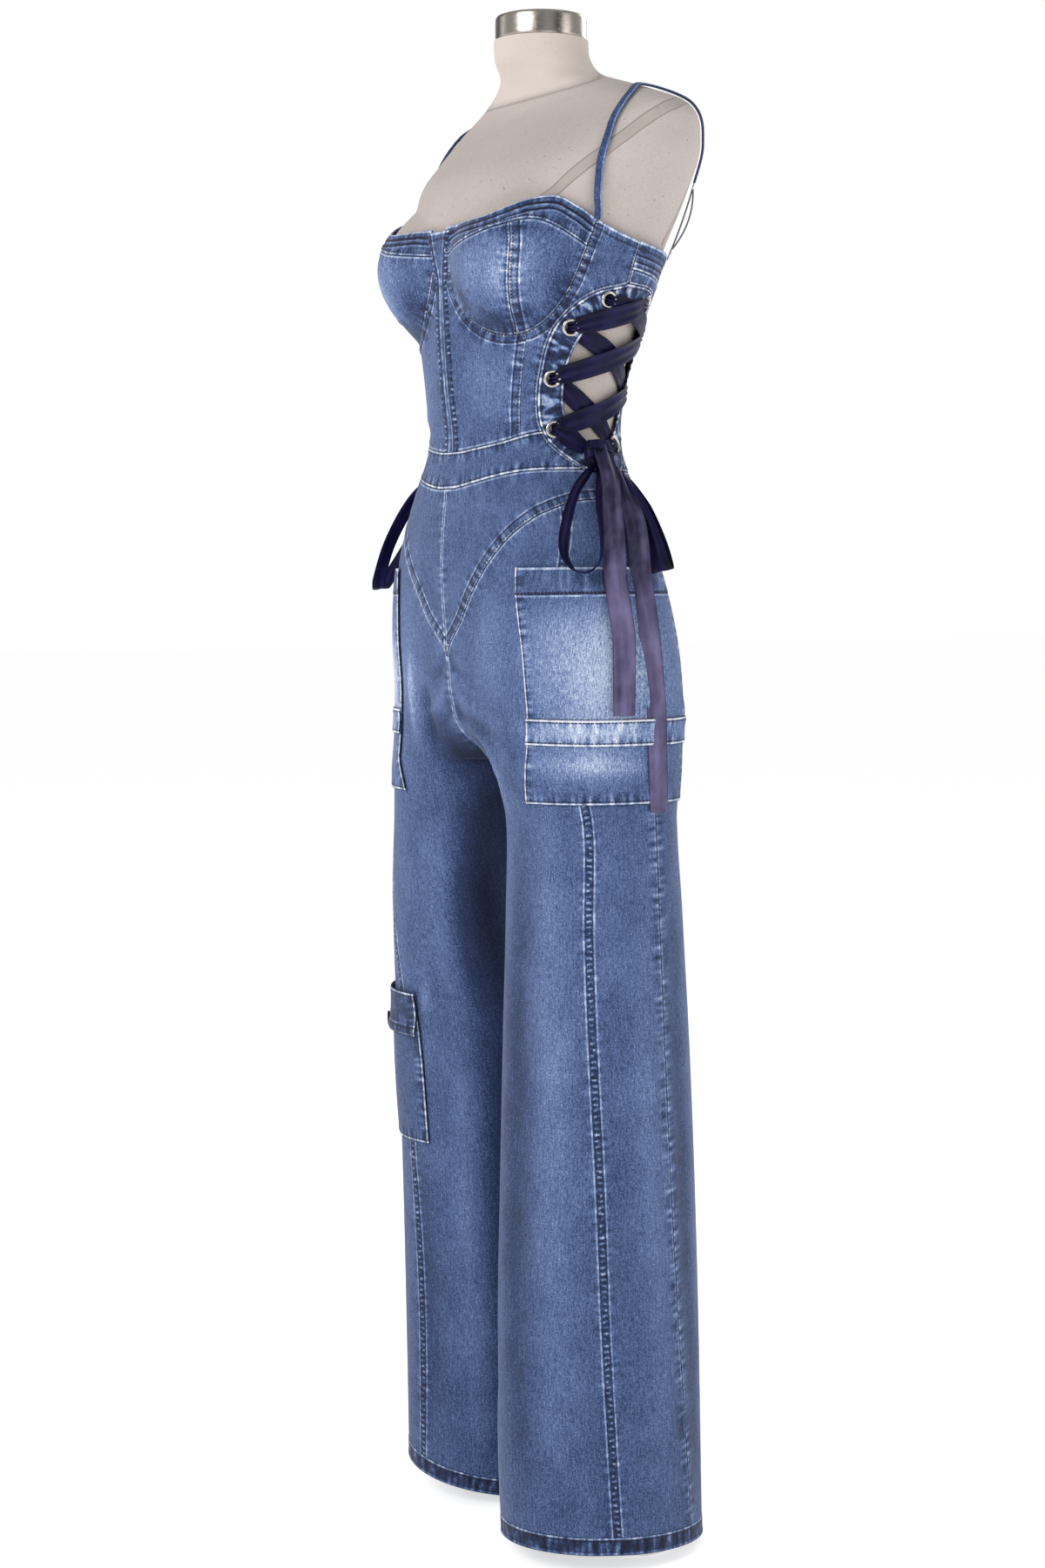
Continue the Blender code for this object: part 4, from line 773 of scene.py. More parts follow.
@dataclass(frozen=True)
class Crease:
    """A fold along a line on the cloth: out where its height is positive, in where it is negative."""

    zone: Zone
    line: tuple[tuple[float, float], ...]
    width: float
    height: float
    sides: tuple[int, ...] = (LEFT, RIGHT)


@dataclass(frozen=True)
class WashAndShadePatch:
    """A patch round a place on the cloth: paler where the denim is washed out, darker where it is painted shade.
    """

    zone: Zone
    middle: tuple[float, float]
    wide: float
    high: float
    strength: float
    sides: tuple[int, ...] = (LEFT, RIGHT)


TR, TO, BOTH = Zone.TROUSER, Zone.TORSO, (LEFT, RIGHT)
# for a surface and the sides that have them: width, height and line of each crease
CREASES = tuple(Crease(zone, row[2:], *row[:2], sides) for zone, sides, rows in (
    # fork and thighs
    (TR, (LEFT,), (
        (0.006, 0.0038, (0.085, 0.776), (0.13, 0.771), (0.175, 0.757), (0.2, 0.735), (0.205, 0.7)),
        (0.006, -0.003, (0.075, 0.765), (0.12, 0.757), (0.155, 0.742), (0.17, 0.715)))),
    (TR, (RIGHT,), (
        (0.0065, 0.0041, (0.2, 0.845), (0.225, 0.812), (0.215, 0.78), (0.19, 0.745)),
        (0.007, -0.0041, (0.165, 0.815), (0.17, 0.785), (0.155, 0.755)))),
    (TR, BOTH, (
        (0.0055, 0.0022, (0.04, 0.822), (0.1, 0.8), (0.16, 0.788), (0.22, 0.786)),
        (0.005, -0.0019, (0.03, 0.842), (0.09, 0.826), (0.15, 0.822)),
        (0.0045, -0.0019, (0.02, 0.805), (0.07, 0.786), (0.12, 0.78)),
        (0.0075, 0.0035, (0.6, 0.8), (0.7, 0.77), (0.82, 0.76), (0.93, 0.772)),
        (0.008, -0.0032, (0.64, 0.772), (0.74, 0.742), (0.85, 0.735)),
        (0.0085, 0.003, (0.66, 0.735), (0.76, 0.705), (0.86, 0.7), (0.95, 0.715)),
        (0.0065, 0.0022, (0.93, 0.865), (0.86, 0.845), (0.76, 0.84)),
        (0.0065, -0.0022, (0.95, 0.84), (0.88, 0.815), (0.78, 0.805)))),
    # long soft folds down the legs
    (TR, (LEFT,), (
        (0.02, 0.003, (0.31, 0.7), (0.33, 0.52), (0.345, 0.3), (0.355, 0.06)),
        (0.017, -0.003, (0.25, 0.64), (0.255, 0.43), (0.262, 0.22), (0.27, 0.04)),
        (0.017, 0.0026, (0.49, 0.66), (0.5, 0.45), (0.515, 0.24), (0.53, 0.03)),
        (0.015, -0.0026, (0.57, 0.64), (0.585, 0.42), (0.6, 0.21), (0.62, 0.02)))),
    (TR, BOTH, (
        (0.019, 0.0034, (0.66, 0.69), (0.68, 0.45), (0.7, 0.22), (0.71, 0.02)),
        (0.018, -0.0034, (0.78, 0.66), (0.79, 0.44), (0.8, 0.23), (0.81, 0.03)),
        (0.018, 0.0028, (0.89, 0.68), (0.89, 0.45), (0.9, 0.22), (0.9, 0.03)))),
    (TR, (LEFT,), ((0.019, 0.0026, (0.1, 0.66), (0.1, 0.47), (0.11, 0.25), (0.11, 0.04)),)),
    (TR, (RIGHT,), (
        (0.016, -0.004, (0.1, 0.7), (0.14, 0.56), (0.19, 0.38), (0.21, 0.2), (0.21, 0.03)),
        (0.017, 0.0034, (0.19, 0.69), (0.24, 0.55), (0.29, 0.37), (0.31, 0.19), (0.31, 0.03)),
        (0.015, 0.0026, (0.04, 0.64), (0.07, 0.47), (0.11, 0.3), (0.12, 0.1)),
        (0.014, -0.0024, (0.4, 0.33), (0.41, 0.2), (0.42, 0.03)),
        (0.016, 0.0024, (0.52, 0.64), (0.54, 0.43), (0.56, 0.22), (0.57, 0.03)))),
    # hem flutes
    (TR, (LEFT,), (
        (0.012, 0.0022, (0.16, 0.15), (0.165, 0.075), (0.17, 0.0)),
        (0.012, -0.0016, (0.42, 0.13), (0.425, 0.065), (0.43, 0.0)))),
    (TR, (RIGHT,), ((0.013, -0.0018, (0.26, 0.13), (0.26, 0.07), (0.255, 0.0)),)),
    # waist and hips
    (TO, BOTH, (
        (0.005, 0.0009, (18.0, 0.985), (30.0, 0.978), (42.0, 0.982)),
        (0.006, 0.0014, (120.0, 0.985), (140.0, 0.972), (160.0, 0.976)),
        (0.006, -0.0012, (112.0, 0.96), (135.0, 0.948), (158.0, 0.952)))),
    # bodice
    (TO, BOTH, (
        (0.006, 0.001, (50.0, 1.075), (42.0, 1.068), (30.0, 1.072), (18.0, 1.078)),
        (0.0055, -0.0009, (48.0, 1.058), (38.0, 1.054), (24.0, 1.058)),
        (0.0045, 0.001, (52.0, 1.115), (56.0, 1.08), (55.0, 1.056)),
        (0.005, 0.0011, (60.0, 1.165), (70.0, 1.18), (82.0, 1.186)),
        (0.0045, -0.0008, (66.0, 1.2), (78.0, 1.203), (92.0, 1.2)),
        (0.005, 0.001, (110.0, 1.196), (124.0, 1.188), (140.0, 1.183)),
        (0.007, 0.0014, (160.0, 1.14), (166.0, 1.11), (168.0, 1.07)),
        (0.006, 0.0012, (150.0, 1.075), (162.0, 1.068), (176.0, 1.072)),
        (0.005, -0.001, (148.0, 1.058), (162.0, 1.054), (176.0, 1.058)))),
    # creases along the cups' own seam and at their feet
    (TO, BOTH, (
        (0.0028, 0.0007, (41.0, 1.222), (40.0, 1.195), (39.5, 1.165), (40.5, 1.148)),
        (0.0028, 0.0006, (49.5, 1.222), (47.0, 1.195), (45.5, 1.165), (45.0, 1.148)),
        (0.0026, -0.0009, (30.0, 1.152), (32.0, 1.162), (31.0, 1.172)),
        (0.0026, -0.0008, (52.0, 1.149), (53.0, 1.16), (51.5, 1.17)),
        (0.0022, 0.0013, (47.5, 1.17), (54.0, 1.166), (62.0, 1.171)),
        (0.0022, -0.0013, (47.0, 1.163), (54.0, 1.158), (61.0, 1.163)),
        (0.002, -0.0008, (48.0, 1.178), (55.0, 1.176), (60.0, 1.18)),
        (0.0019, 0.0008, (49.0, 1.186), (55.0, 1.184), (61.0, 1.187)),
        (0.0018, -0.0006, (50.0, 1.193), (56.0, 1.191), (63.0, 1.193)),
        (0.002, 0.0006, (49.0, 1.212), (56.0, 1.208), (63.0, 1.21)))),
    (TO, (LEFT,), ((0.002, 0.0006, (21.0, 1.176), (27.0, 1.181), (33.0, 1.18)),)),
    (TO, (RIGHT,), (
        (0.0022, 0.0007, (10.0, 1.206), (16.0, 1.212), (24.0, 1.211)),
        (0.002, 0.0009, (12.0, 1.164), (18.0, 1.17), (28.0, 1.166)))),
    (TO, (LEFT,), (
        (0.0028, 0.0008, (66.0, 1.222), (72.0, 1.214), (80.0, 1.212)),
        (0.003, -0.0009, (86.0, 1.228), (90.0, 1.214), (97.0, 1.205)))),
    (TO, BOTH, (
        (0.0024, 0.001, (44.0, 1.166), (37.0, 1.161), (30.0, 1.168)),
        (0.0022, -0.0011, (43.0, 1.159), (36.0, 1.154), (28.0, 1.161)))),
    (TO, (RIGHT,), (
        (0.0026, -0.0009, (22.0, 1.16), (25.0, 1.168), (25.0, 1.176)),
        (0.0026, -0.0008, (60.0, 1.158), (62.0, 1.168), (60.0, 1.178)))),
) for row in rows)
# middle of each patch, half its width and height, and how much paler it is; a negative one is darker and is
# painted shade
WASH_AND_SHADE_PATCHES = tuple(WashAndShadePatch(zone, row[:2], *row[2:], sides) for zone, sides, rows in (
    (TR, (LEFT,), ((0.445, 0.822, 0.062, 0.05, 0.8), (0.43, 0.868, 0.074, 0.03, 0.3))),
    # painted shade down the inner side of the right leg, between the legs
    (TR, (RIGHT,), (
        (0.19, 0.56, 0.03, 0.13, -0.42), (0.205, 0.36, 0.028, 0.13, -0.52),
        (0.235, 0.14, 0.028, 0.13, -0.52))),
    # painted shade under the cups, along their lower inner and outer sides, and under the neck band
    (TO, BOTH, (
        (42.0, 1.149, 0.038, 0.01, -0.48), (18.0, 1.17, 0.013, 0.018, -0.38),
        (66.0, 1.172, 0.014, 0.02, -0.38), (42.0, 1.229, 0.04, 0.005, -0.25))),
    # painted shade in the fork and high on the inner side of the right leg
    (TR, (RIGHT,), (
        (0.12, 0.62, 0.03, 0.08, -0.38), (0.07, 0.705, 0.026, 0.045, -0.5),
        (0.03, 0.748, 0.034, 0.014, -0.42), (0.08, 0.752, 0.03, 0.022, -0.22),
        (0.985, 0.76, 0.034, 0.024, -0.55), (0.11, 0.748, 0.02, 0.02, -0.25))),
    # painted shade in the fork of both legs
    (TR, BOTH, ((0.14, 0.77, 0.026, 0.02, -0.3),)),
    # painted shade down a fold of the left leg, then washed patches low on its hip pocket
    (TR, (LEFT,), (
        (0.23, 0.5, 0.022, 0.25, -0.16), (0.42, 0.744, 0.056, 0.012, 0.62),
        (0.42, 0.775, 0.07, 0.012, 0.45))),
    (TR, (RIGHT,), (
        (0.33, 0.815, 0.036, 0.05, 0.95), (0.4, 0.83, 0.04, 0.05, 0.7),
        (0.38, 0.742, 0.04, 0.012, 0.6))),
    (TR, BOTH, (
        (0.32, 0.56, 0.05, 0.18, 0.05), (0.75, 0.85, 0.06, 0.06, 0.32),
        (0.76, 0.56, 0.05, 0.15, 0.08), (0.19, 0.845, 0.022, 0.04, 0.16))),
    (TR, (RIGHT,), ((0.33, 0.505, 0.007, 0.014, 0.35), (0.22, 0.81, 0.007, 0.035, 0.35))),
    (TO, BOTH, ((31.0, 1.197, 0.024, 0.036, 0.32), (54.0, 1.2, 0.018, 0.03, 0.34))),
    (TO, (RIGHT,), ((45.0, 1.195, 0.022, 0.04, 0.22),)),
    (TO, BOTH, (
        (43.0, 1.187, 0.007, 0.04, 0.35), (30.0, 1.095, 0.026, 0.03, 0.22),
        (150.0, 1.11, 0.04, 0.04, 0.28), (55.0, 0.96, 0.03, 0.018, 0.1))),
) for row in rows)


def crease_height(points: Array) -> Array:
    """How far the creases push the cloth out at each point.

    Args:
        points: places on the cloth before SHIFT, on either side of the body.

    Returns:
        The sum over the creases of height times exp(-(distance / width) squared), which fades
        towards both ends of each line.
    """
    flat, total = points.reshape(-1, 3), np.zeros(points.size // 3)
    for side in (LEFT, RIGHT):
        mine = np.nonzero(flat[:, 0] * side >= -MIDDLE)[0]
        here, pushed = flat[mine] * [side, 1.0, 1.0], np.zeros(len(mine))
        for crease in (c for c in CREASES if side in c.sides):
            path = place(crease.zone, spread(crease.line, 6 * len(crease.line)), side)
            reach = 3.0 * crease.width
            close = np.nonzero(np.all((here > path.min(0) - reach) & (here < path.max(0) + reach), axis=1))[0]
            if not len(close):
                continue
            gap, t = to_path(here[close], path)
            best, rows = gap.argmin(1), np.arange(len(close))
            along = np.clip((best + t[rows, best]) / (len(path) - 1), 0.0, 1.0)
            pushed[close] += (crease.height * np.exp(-(gap[rows, best] / crease.width)**2)
                              * np.clip(np.sin(np.pi * along), 0.0, 1.0)**0.6)
        total[mine] = pushed
    return total.reshape(points.shape[:-1])


def wash_and_painted_shade(points: Array) -> Array:
    """How far the cloth's lightness moves at each point: a sum of soft oval patches, up where it is washed out and
    down where shade is painted.
    """
    total = np.zeros(points.shape[:-1])
    for side in (LEFT, RIGHT):
        here = points * [side, 1.0, 1.0]
        for tone_patch in (f for f in WASH_AND_SHADE_PATCHES if side in f.sides):
            away = here - place(tone_patch.zone, np.array(tone_patch.middle), side)
            r2 = (away[..., :2]**2).sum(-1) / tone_patch.wide**2 + (away[..., 2] / tone_patch.high)**2
            total += np.where(here[..., 0] >= -MIDDLE, tone_patch.strength * np.exp(-r2), 0.0)
    return total


# ---------------------------------------------------------------- meshes

@dataclass
class Shell:
    """A closed thin wall: its points, faces and what each point carries."""

    points: Array
    faces: Array
    uv: Array
    values: dict[str, Array]


def shell(outer: Array, inner: Array, uv: Array, values: dict[str, Array],
          keep: Array | None = None, ring: bool = False) -> Shell:
    """Join two grids into a closed wall.

    Args:
        outer, inner: the two faces, rows by columns by 3.
        uv: two numbers for each grid point.
        values: named numbers for each grid point.
        keep: which cells of the grid are cloth; the others are holes.
        ring: whether the last column joins the first.

    Returns:
        The wall. A side face stands wherever a kept cell meets a hole or the edge.
    """
    rows, columns = outer.shape[:2]
    index = np.arange(rows * columns).reshape(rows, columns)
    if ring:
        index = np.concatenate([index, index[:, :1]], axis=1)
    size = rows * columns
    cells = np.ones((rows - 1, index.shape[1] - 1), bool) if keep is None else keep
    padded = np.pad(cells, 1, constant_values=False)
    if ring:
        padded[1:-1, 0], padded[1:-1, -1] = cells[:, -1], cells[:, 0]
    a, b = index[:-1, :-1][cells], index[:-1, 1:][cells]
    c, d = index[1:, 1:][cells], index[1:, :-1][cells]
    quads = [np.stack([a, b, c, d], -1), np.stack([d, c, b, a], -1) + size]
    upright = padded[1:-1, :]
    for turned, here in ((1, upright[:, :-1] & ~upright[:, 1:]), (-1, ~upright[:, :-1] & upright[:, 1:])):
        p, q = index[:-1][here], index[1:][here]
        quads.append(np.stack([p, p + size, q + size, q], -1)[:, ::turned])
    flat = padded[:, 1:-1]
    for turned, here in ((1, flat[:-1] & ~flat[1:]), (-1, ~flat[:-1] & flat[1:])):
        p, q = index[:, :-1][here], index[:, 1:][here]
        quads.append(np.stack([p, q, q + size, p + size], -1)[:, ::turned])
    points = np.concatenate([outer.reshape(-1, 3), inner.reshape(-1, 3)])
    faces = np.concatenate(quads)
    used, back = np.unique(faces, return_inverse=True)
    twice = {name: np.tile(value.reshape(-1), 2)[used] for name, value in values.items()}
    return Shell(points[used], back.reshape(faces.shape), np.tile(uv.reshape(-1, 2), (2, 1))[used], twice)


def add_piece(name: str, shells: Sequence[Shell], material: bpy.types.Material, node: str = "",
              smooth: float = 40.0, ends: Sequence[Sequence[int]] = ()) -> bpy.types.Object:
    """Make one object from closed walls, moved to stand on the floor.

    Args:
        name: the piece's name.
        shells: its walls.
        material: its finish.
        node: the CAD node that it stands for, if there is one.
        smooth: edges flatter than this angle are shaded smooth.
        ends: extra faces by point number.

    Returns:
        The object, riding on the one body.
    """
    offsets = np.cumsum([0] + [len(s.points) for s in shells])
    points = np.concatenate([s.points for s in shells]) + SHIFT
    faces = np.concatenate([s.faces + o for s, o in zip(shells, offsets)])
    loops = np.concatenate([faces.reshape(-1), np.array([i for end in ends for i in end], int)]).astype(np.int32)
    more = len(faces) * 4 + np.cumsum([0] + [len(end) for end in ends])[:len(ends)]
    starts = np.concatenate([np.arange(len(faces)) * 4, more]).astype(np.int32)
    mesh = bpy.data.meshes.new(name)
    mesh.vertices.add(len(points))
    mesh.vertices.foreach_set("co", points.astype(np.float32).ravel())
    mesh.loops.add(len(loops))
    mesh.loops.foreach_set("vertex_index", loops)
    mesh.polygons.add(len(starts))
    mesh.polygons.foreach_set("loop_start", starts)
    layer = mesh.uv_layers.new(name="cloth")
    layer.data.foreach_set("uv", np.concatenate([s.uv for s in shells])[loops].astype(np.float32).ravel())
    for key in shells[0].values:
        attribute = mesh.attributes.new(key, "FLOAT", "POINT")
        attribute.data.foreach_set("value", np.concatenate([s.values[key] for s in shells]).astype(np.float32))
    mesh.materials.append(material)
    mesh.validate()
    mesh.update(calc_edges=True)
    mesh.shade_smooth()
    mesh.set_sharp_from_angle(angle=math.radians(smooth))
    piece = bpy.data.objects.new(name, mesh)
    bpy.context.collection.objects.link(piece)
    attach(piece, "root")
    if node:
        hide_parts(node)
    LOG.info("%s: %d faces", name, len(starts))
    return piece


def lengths(grid: Array) -> tuple[Array, Array]:
    """Distance of each point from the grid's left edge along its row, and from the low edge up its column."""
    across = np.linalg.norm(np.diff(grid, axis=1), axis=-1)
    up = np.linalg.norm(np.diff(grid, axis=0), axis=-1)
    return (np.concatenate([np.zeros((grid.shape[0], 1)), np.cumsum(across, axis=1)], axis=1),
            np.concatenate([np.zeros((1, grid.shape[1])), np.cumsum(up, axis=0)], axis=0))


def beside(line: Array, points: Array) -> tuple[Array, Array]:
    """Find the place on a line that is nearest to each point.

    Args:
        line: places along an edge.
        points: points of the cloth.

    Returns:
        The distance to that place, and how far along the line it is.
    """
    flat = points.reshape(-1, 3)
    best = ((line**2).sum(1) - 2.0 * flat @ line.T).argmin(1)
    run = run_along(line)
    found = []
    for start in (np.clip(best - 1, 0, len(line) - 2), np.clip(best, 0, len(line) - 2)):
        way = line[start + 1] - line[start]
        t = np.clip(((flat - line[start]) * way).sum(1) / np.maximum((way**2).sum(1), 1e-14), 0.0, 1.0)
        found.append((np.linalg.norm(flat - line[start] - t[:, None] * way, axis=1),
                      run[start] + t * (run[start + 1] - run[start])))
    (near, here), (other, there) = found
    return (np.minimum(near, other).reshape(points.shape[:-1]),
            np.where(near <= other, here, there).reshape(points.shape[:-1]))


@dataclass(frozen=True)
class Tailor:
    """Sews flat grids into shells with creases, washed patches, painted shade and seams."""

    thick: float = WALL
    clear: float = 0.00002
    raised: float = 0.00035
    sunk: float = 0.0004
    stitched_in: float = 0.0012
    tube_wide: float = 0.0066
    crease_full: float = 0.003
    turn_scale: float = 0.55
    least_size: float = 0.0101

    def edge_height(self, distance: Array, look: SeamLook) -> Array:
        """Height that a seam adds by the distance from it: a raised band, a groove and a tube."""
        band = self.raised * (1.0 - ease(distance, look.band, look.band + 0.002))
        groove = self.sunk * look.groove * (1.0 - ease(distance, 0.0, self.stitched_in))
        round_part = np.clip((distance - self.stitched_in) / self.tube_wide, 0.0, 1.0)
        return band - groove + look.tube * np.sin(np.pi * round_part)

    def sew(self, node: str, zone: Zone, flat: Array, finish: Denim, side: int | None = None,
            lift: float = 0.0, relief: Array | float = 0.0, keep: Array | None = None, quiet: int = 0,
            held: str = "stretched", rests_on: Sequence[str] = ("form_torso",), slot: str = "denim") -> None:
        """Make one cloth piece that stands for its CAD node.

        Args:
            node: the CAD node.
            zone: the surface that flat is read on.
            flat: rows by columns of (angle or fraction, height), on the left side.
            finish: the piece's denim.
            side: LEFT or RIGHT, or None for a piece across the middle.
            lift: how far its inner face is above the surface.
            relief: more height, at each grid point.
            keep: cells that are cloth.
            quiet: how many low rows of the left edge have no seam of their own.
            held: not used.
            rests_on: not used.
            slot: not used.
        """
        grid, edges = place(zone, flat, side or LEFT), finish.edges
        relief = relief + np.zeros(grid.shape[:2])
        if side == RIGHT:
            grid, relief, flat = grid[:, ::-1] * [-1.0, 1.0, 1.0], relief[:, ::-1], flat[:, ::-1]
            edges = (edges[1], edges[0], edges[2], edges[3])
            keep = None if keep is None else keep[:, ::-1]
        across, up = lengths(grid)
        away, run = [across, across[:, -1:] - across, up, up[-1:] - up], [up, up, across, across]
        bend = crease_height(grid)
        height = relief + bend
        muted = 1 if side == RIGHT else 0
        for index, line in enumerate((grid[:, 0], grid[:, -1], grid[0], grid[-1])):
            if edges[index] is not NONE:
                away[index], run[index] = beside(line[quiet if index == muted else 0:], grid)
                height = height + self.edge_height(away[index], LOOKS[edges[index]])
        n = normals(grid)
        inner = grid + n * (lift + self.clear + height)[..., None]
        values = dict(zip(EDGE_NAMES + RUN_NAMES, away + run))
        # worn: the washed patches and painted shade of the patch table, less up to 0.1 from 0.75 m down to the
        # hem, so darker towards the bottom
        values["worn"] = wash_and_painted_shade(grid) - 0.1 * (1.0 - ease(grid[..., 2], 0.1, 0.75))
        # bend: the crease height, which the denim draws lighter on ridges as wear and darker in troughs as painted
        # shade
        values["bend"] = np.clip(bend / self.crease_full, -1.0, 1.0)
        values["grain_across"] = flat[..., 0] * (ARC if zone is Zone.TORSO else self.turn_scale) * (side or LEFT)
        values["grain_along"] = flat[..., 1] + 0.0
        wall = shell(inner + n * self.thick, inner, np.stack([across, up], -1), values, keep)
        material = DENIMS.get(Denim(edges, finish.tone, finish.mottle, finish.ridges))
        piece = add_piece(f"{node}_cloth", [wall], material, node)
        cell = np.linalg.norm(np.cross(np.diff(grid, axis=1)[:-1], np.diff(grid, axis=0)[:, :-1]), axis=-1)
        area = float((cell if keep is None else cell[keep]).sum())
        size = [max(float(across[:, -1].max()), self.least_size), max(float(up[-1].max()), self.least_size)]
        if area < 0.32 * size[0] * size[1]:
            size[0] = area / (0.4 * size[1])

    def both(self, node: str, zone: Zone, flat: Array, finish: Denim, **options: object) -> None:
        """Sew the left piece and the right one."""
        for side in (LEFT, RIGHT):
            self.sew(f"{node}_{SIDE_NAME[side]}", zone, flat, finish, side, **options)


class Denims:
    """Keeps one material for each denim finish."""

    def __init__(self) -> None:
        """Start with none."""
        self.made: dict[Denim, bpy.types.Material] = {}

    def get(self, finish: Denim) -> bpy.types.Material:
        """The material of a finish, made at its first use."""
        if finish not in self.made:
            self.made[finish] = finish.material()
        return self.made[finish]


DENIMS = Denims()


# ---------------------------------------------------------------- pattern lines

@dataclass(frozen=True)
class Pattern:
    """Edges of the pieces, as (angle, height) on the torso or (height, fraction) down the trousers."""

    cup_angle: float = 40.0
    cup_height: float = 1.2165
    cup_deep: float = 0.079
    cup_in: float = 35.5
    cup_out: float = 33.5
    cup_seam: tuple = ((43.2, 1.1385), (45.5, 1.156), (48.0, 1.178), (49.2, 1.1995), (48.6, 1.218), (45.5, 1.2336))
    band_low: tuple = ((4.6, 1.215), (25.0, 1.2215), (41.0, 1.231), (53.0, 1.237), (63.0, 1.23), (73.4, 1.2155))
    neck_top: tuple = ((0.0, 1.236), (6.0, 1.24), (32.0, 1.242), (46.0, 1.256), (55.0, 1.2585), (65.0, 1.25),
                       (74.0, 1.24), (84.0, 1.231), (97.0, 1.223), (136.0, 1.216), (180.0, 1.211))
    strip: tuple = ((1.033, 1.9), (1.19, 1.7), (1.2165, 3.0), (1.238, 3.8))
    princess: tuple = ((1.048, 46.0), (1.139, 49.0))
    side_angle: float = 97.0
    back_band: tuple = ((97.0, 1.1975), (136.0, 1.19), (180.0, 1.182))
    back_rise: tuple = ((1.049, 1.049), (1.165, 1.167), (1.18, 1.176), (1.1851, 1.1808), (1.1975, 1.182))
    waist_top: tuple = ((0.0, 1.033), (8.0, 1.0335), (33.0, 1.04), (57.0, 1.049), (110.0, 1.049), (180.0, 1.049))
    waist_low: tuple = ((0.0, 0.998), (6.0, 0.9985), (38.0, 1.01), (60.0, 1.013), (110.0, 1.013), (180.0, 1.013))
    front_outer: tuple = ((97.0, 1.0132), (90.0, 1.0132), (82.0, 1.0142), (74.0, 1.0215), (62.0, 1.04),
                          (57.0, 1.06),
                          (57.0, 1.1), (62.0, 1.143), (77.0, 1.172), (97.0, 1.1848))
    front_inner: tuple = ((97.0, 1.037), (89.0, 1.0375), (82.0, 1.041), (75.0, 1.054), (71.0, 1.077),
                          (72.0, 1.112), (77.0, 1.136), (86.0, 1.152), (97.0, 1.159))
    back_outer: tuple = ((97.0, 1.0132), (104.0, 1.0132), (111.0, 1.0142), (118.0, 1.022), (130.0, 1.048),
                         (141.0, 1.08), (151.0, 1.128), (147.0, 1.165), (124.0, 1.1812), (97.0, 1.1848))
    back_inner: tuple = ((97.0, 1.037), (102.0, 1.038), (107.0, 1.043), (115.0, 1.058), (126.0, 1.088),
                         (135.0, 1.124), (132.0, 1.146), (116.0, 1.158), (97.0, 1.159))
    front_eyelets: tuple = ((66.0, 1.051), (64.0, 1.097), (70.5, 1.143), (88.0, 1.169))
    back_eyelets: tuple = ((111.0, 1.039), (131.5, 1.09), (142.0, 1.142), (122.0, 1.17))
    yoke: tuple = ((0.0, 0.839), (0.09, 0.873), (0.118, 0.903), (0.147, 0.929), (0.186, 0.949), (0.24, 0.964),
                   (0.306, 0.975), (0.417, 0.985), (0.53, 0.986))
    leg_seams: tuple = ((0.0, 0.442, 0.59), (0.33, 0.419, 0.55), (0.58, 0.394, 0.534), (0.7, 0.392, 0.53),
                        (0.8, 0.375, 0.524), (0.86, 0.356, 0.522), (0.925, 0.343, 0.523), (0.976, 0.363, 0.525))
    hip_front: tuple = ((0.0, 0.276), (0.33, 0.262), (0.58, 0.262), (0.708, 0.278), (0.745, 0.292), (0.8, 0.291),
                        (0.85, 0.276), (0.924, 0.226), (0.985, 0.222))

    def cup(self, start: float, stop: float, count: int) -> Array:
        """The cup's lower outline, a half oval: 0 at the inner corner and 1 at the outer one."""
        turn = math.pi * np.linspace(start, stop, count)
        wide = np.where(np.cos(turn) > 0.0, self.cup_in, self.cup_out)
        return np.column_stack([self.cup_angle - wide * np.cos(turn),
                                self.cup_height - self.cup_deep * np.sin(turn)])

    def cup_at(self, angle: float) -> float:
        """Place along the cup's lower outline of an angle on its outer half."""
        return math.acos((self.cup_angle - angle) / self.cup_out) / math.pi

    def edge(self, pairs: tuple, start: float, stop: float, count: int) -> Array:
        """Points of an edge that a table gives as angle and height."""
        angle = np.linspace(start, stop, count)
        return np.column_stack([angle, level(pairs, angle)])

    def facing(self, outer: tuple, count: int = 160) -> tuple[Array, Array]:
        """A facing's outline above the waistband's top edge, and its angle at each depth of the waistband."""
        line = curve(outer, count)
        low, top = level(self.waist_low, line[:, 0]), level(self.waist_top, line[:, 0])
        depth = (line[:, 1] - low) / (top - low)
        last = int(np.argmax(depth > 1.0))
        share = (1.0 - depth[last - 1]) / (depth[last] - depth[last - 1])
        corner = line[last - 1] + (line[last] - line[last - 1]) * share
        first = int(np.argmax(depth > 0.004))
        beside = np.vstack([line[first:last], corner])
        return np.vstack([corner, line[last:]]), np.column_stack([np.append(depth[first:last], 1.0), beside[:, 0]])


PATTERN = Pattern()


def straight(start: Sequence[float], stop: Sequence[float], count: int) -> Array:
    """Points on a straight edge."""
    return np.linspace(np.array(start, float), np.array(stop, float), count)


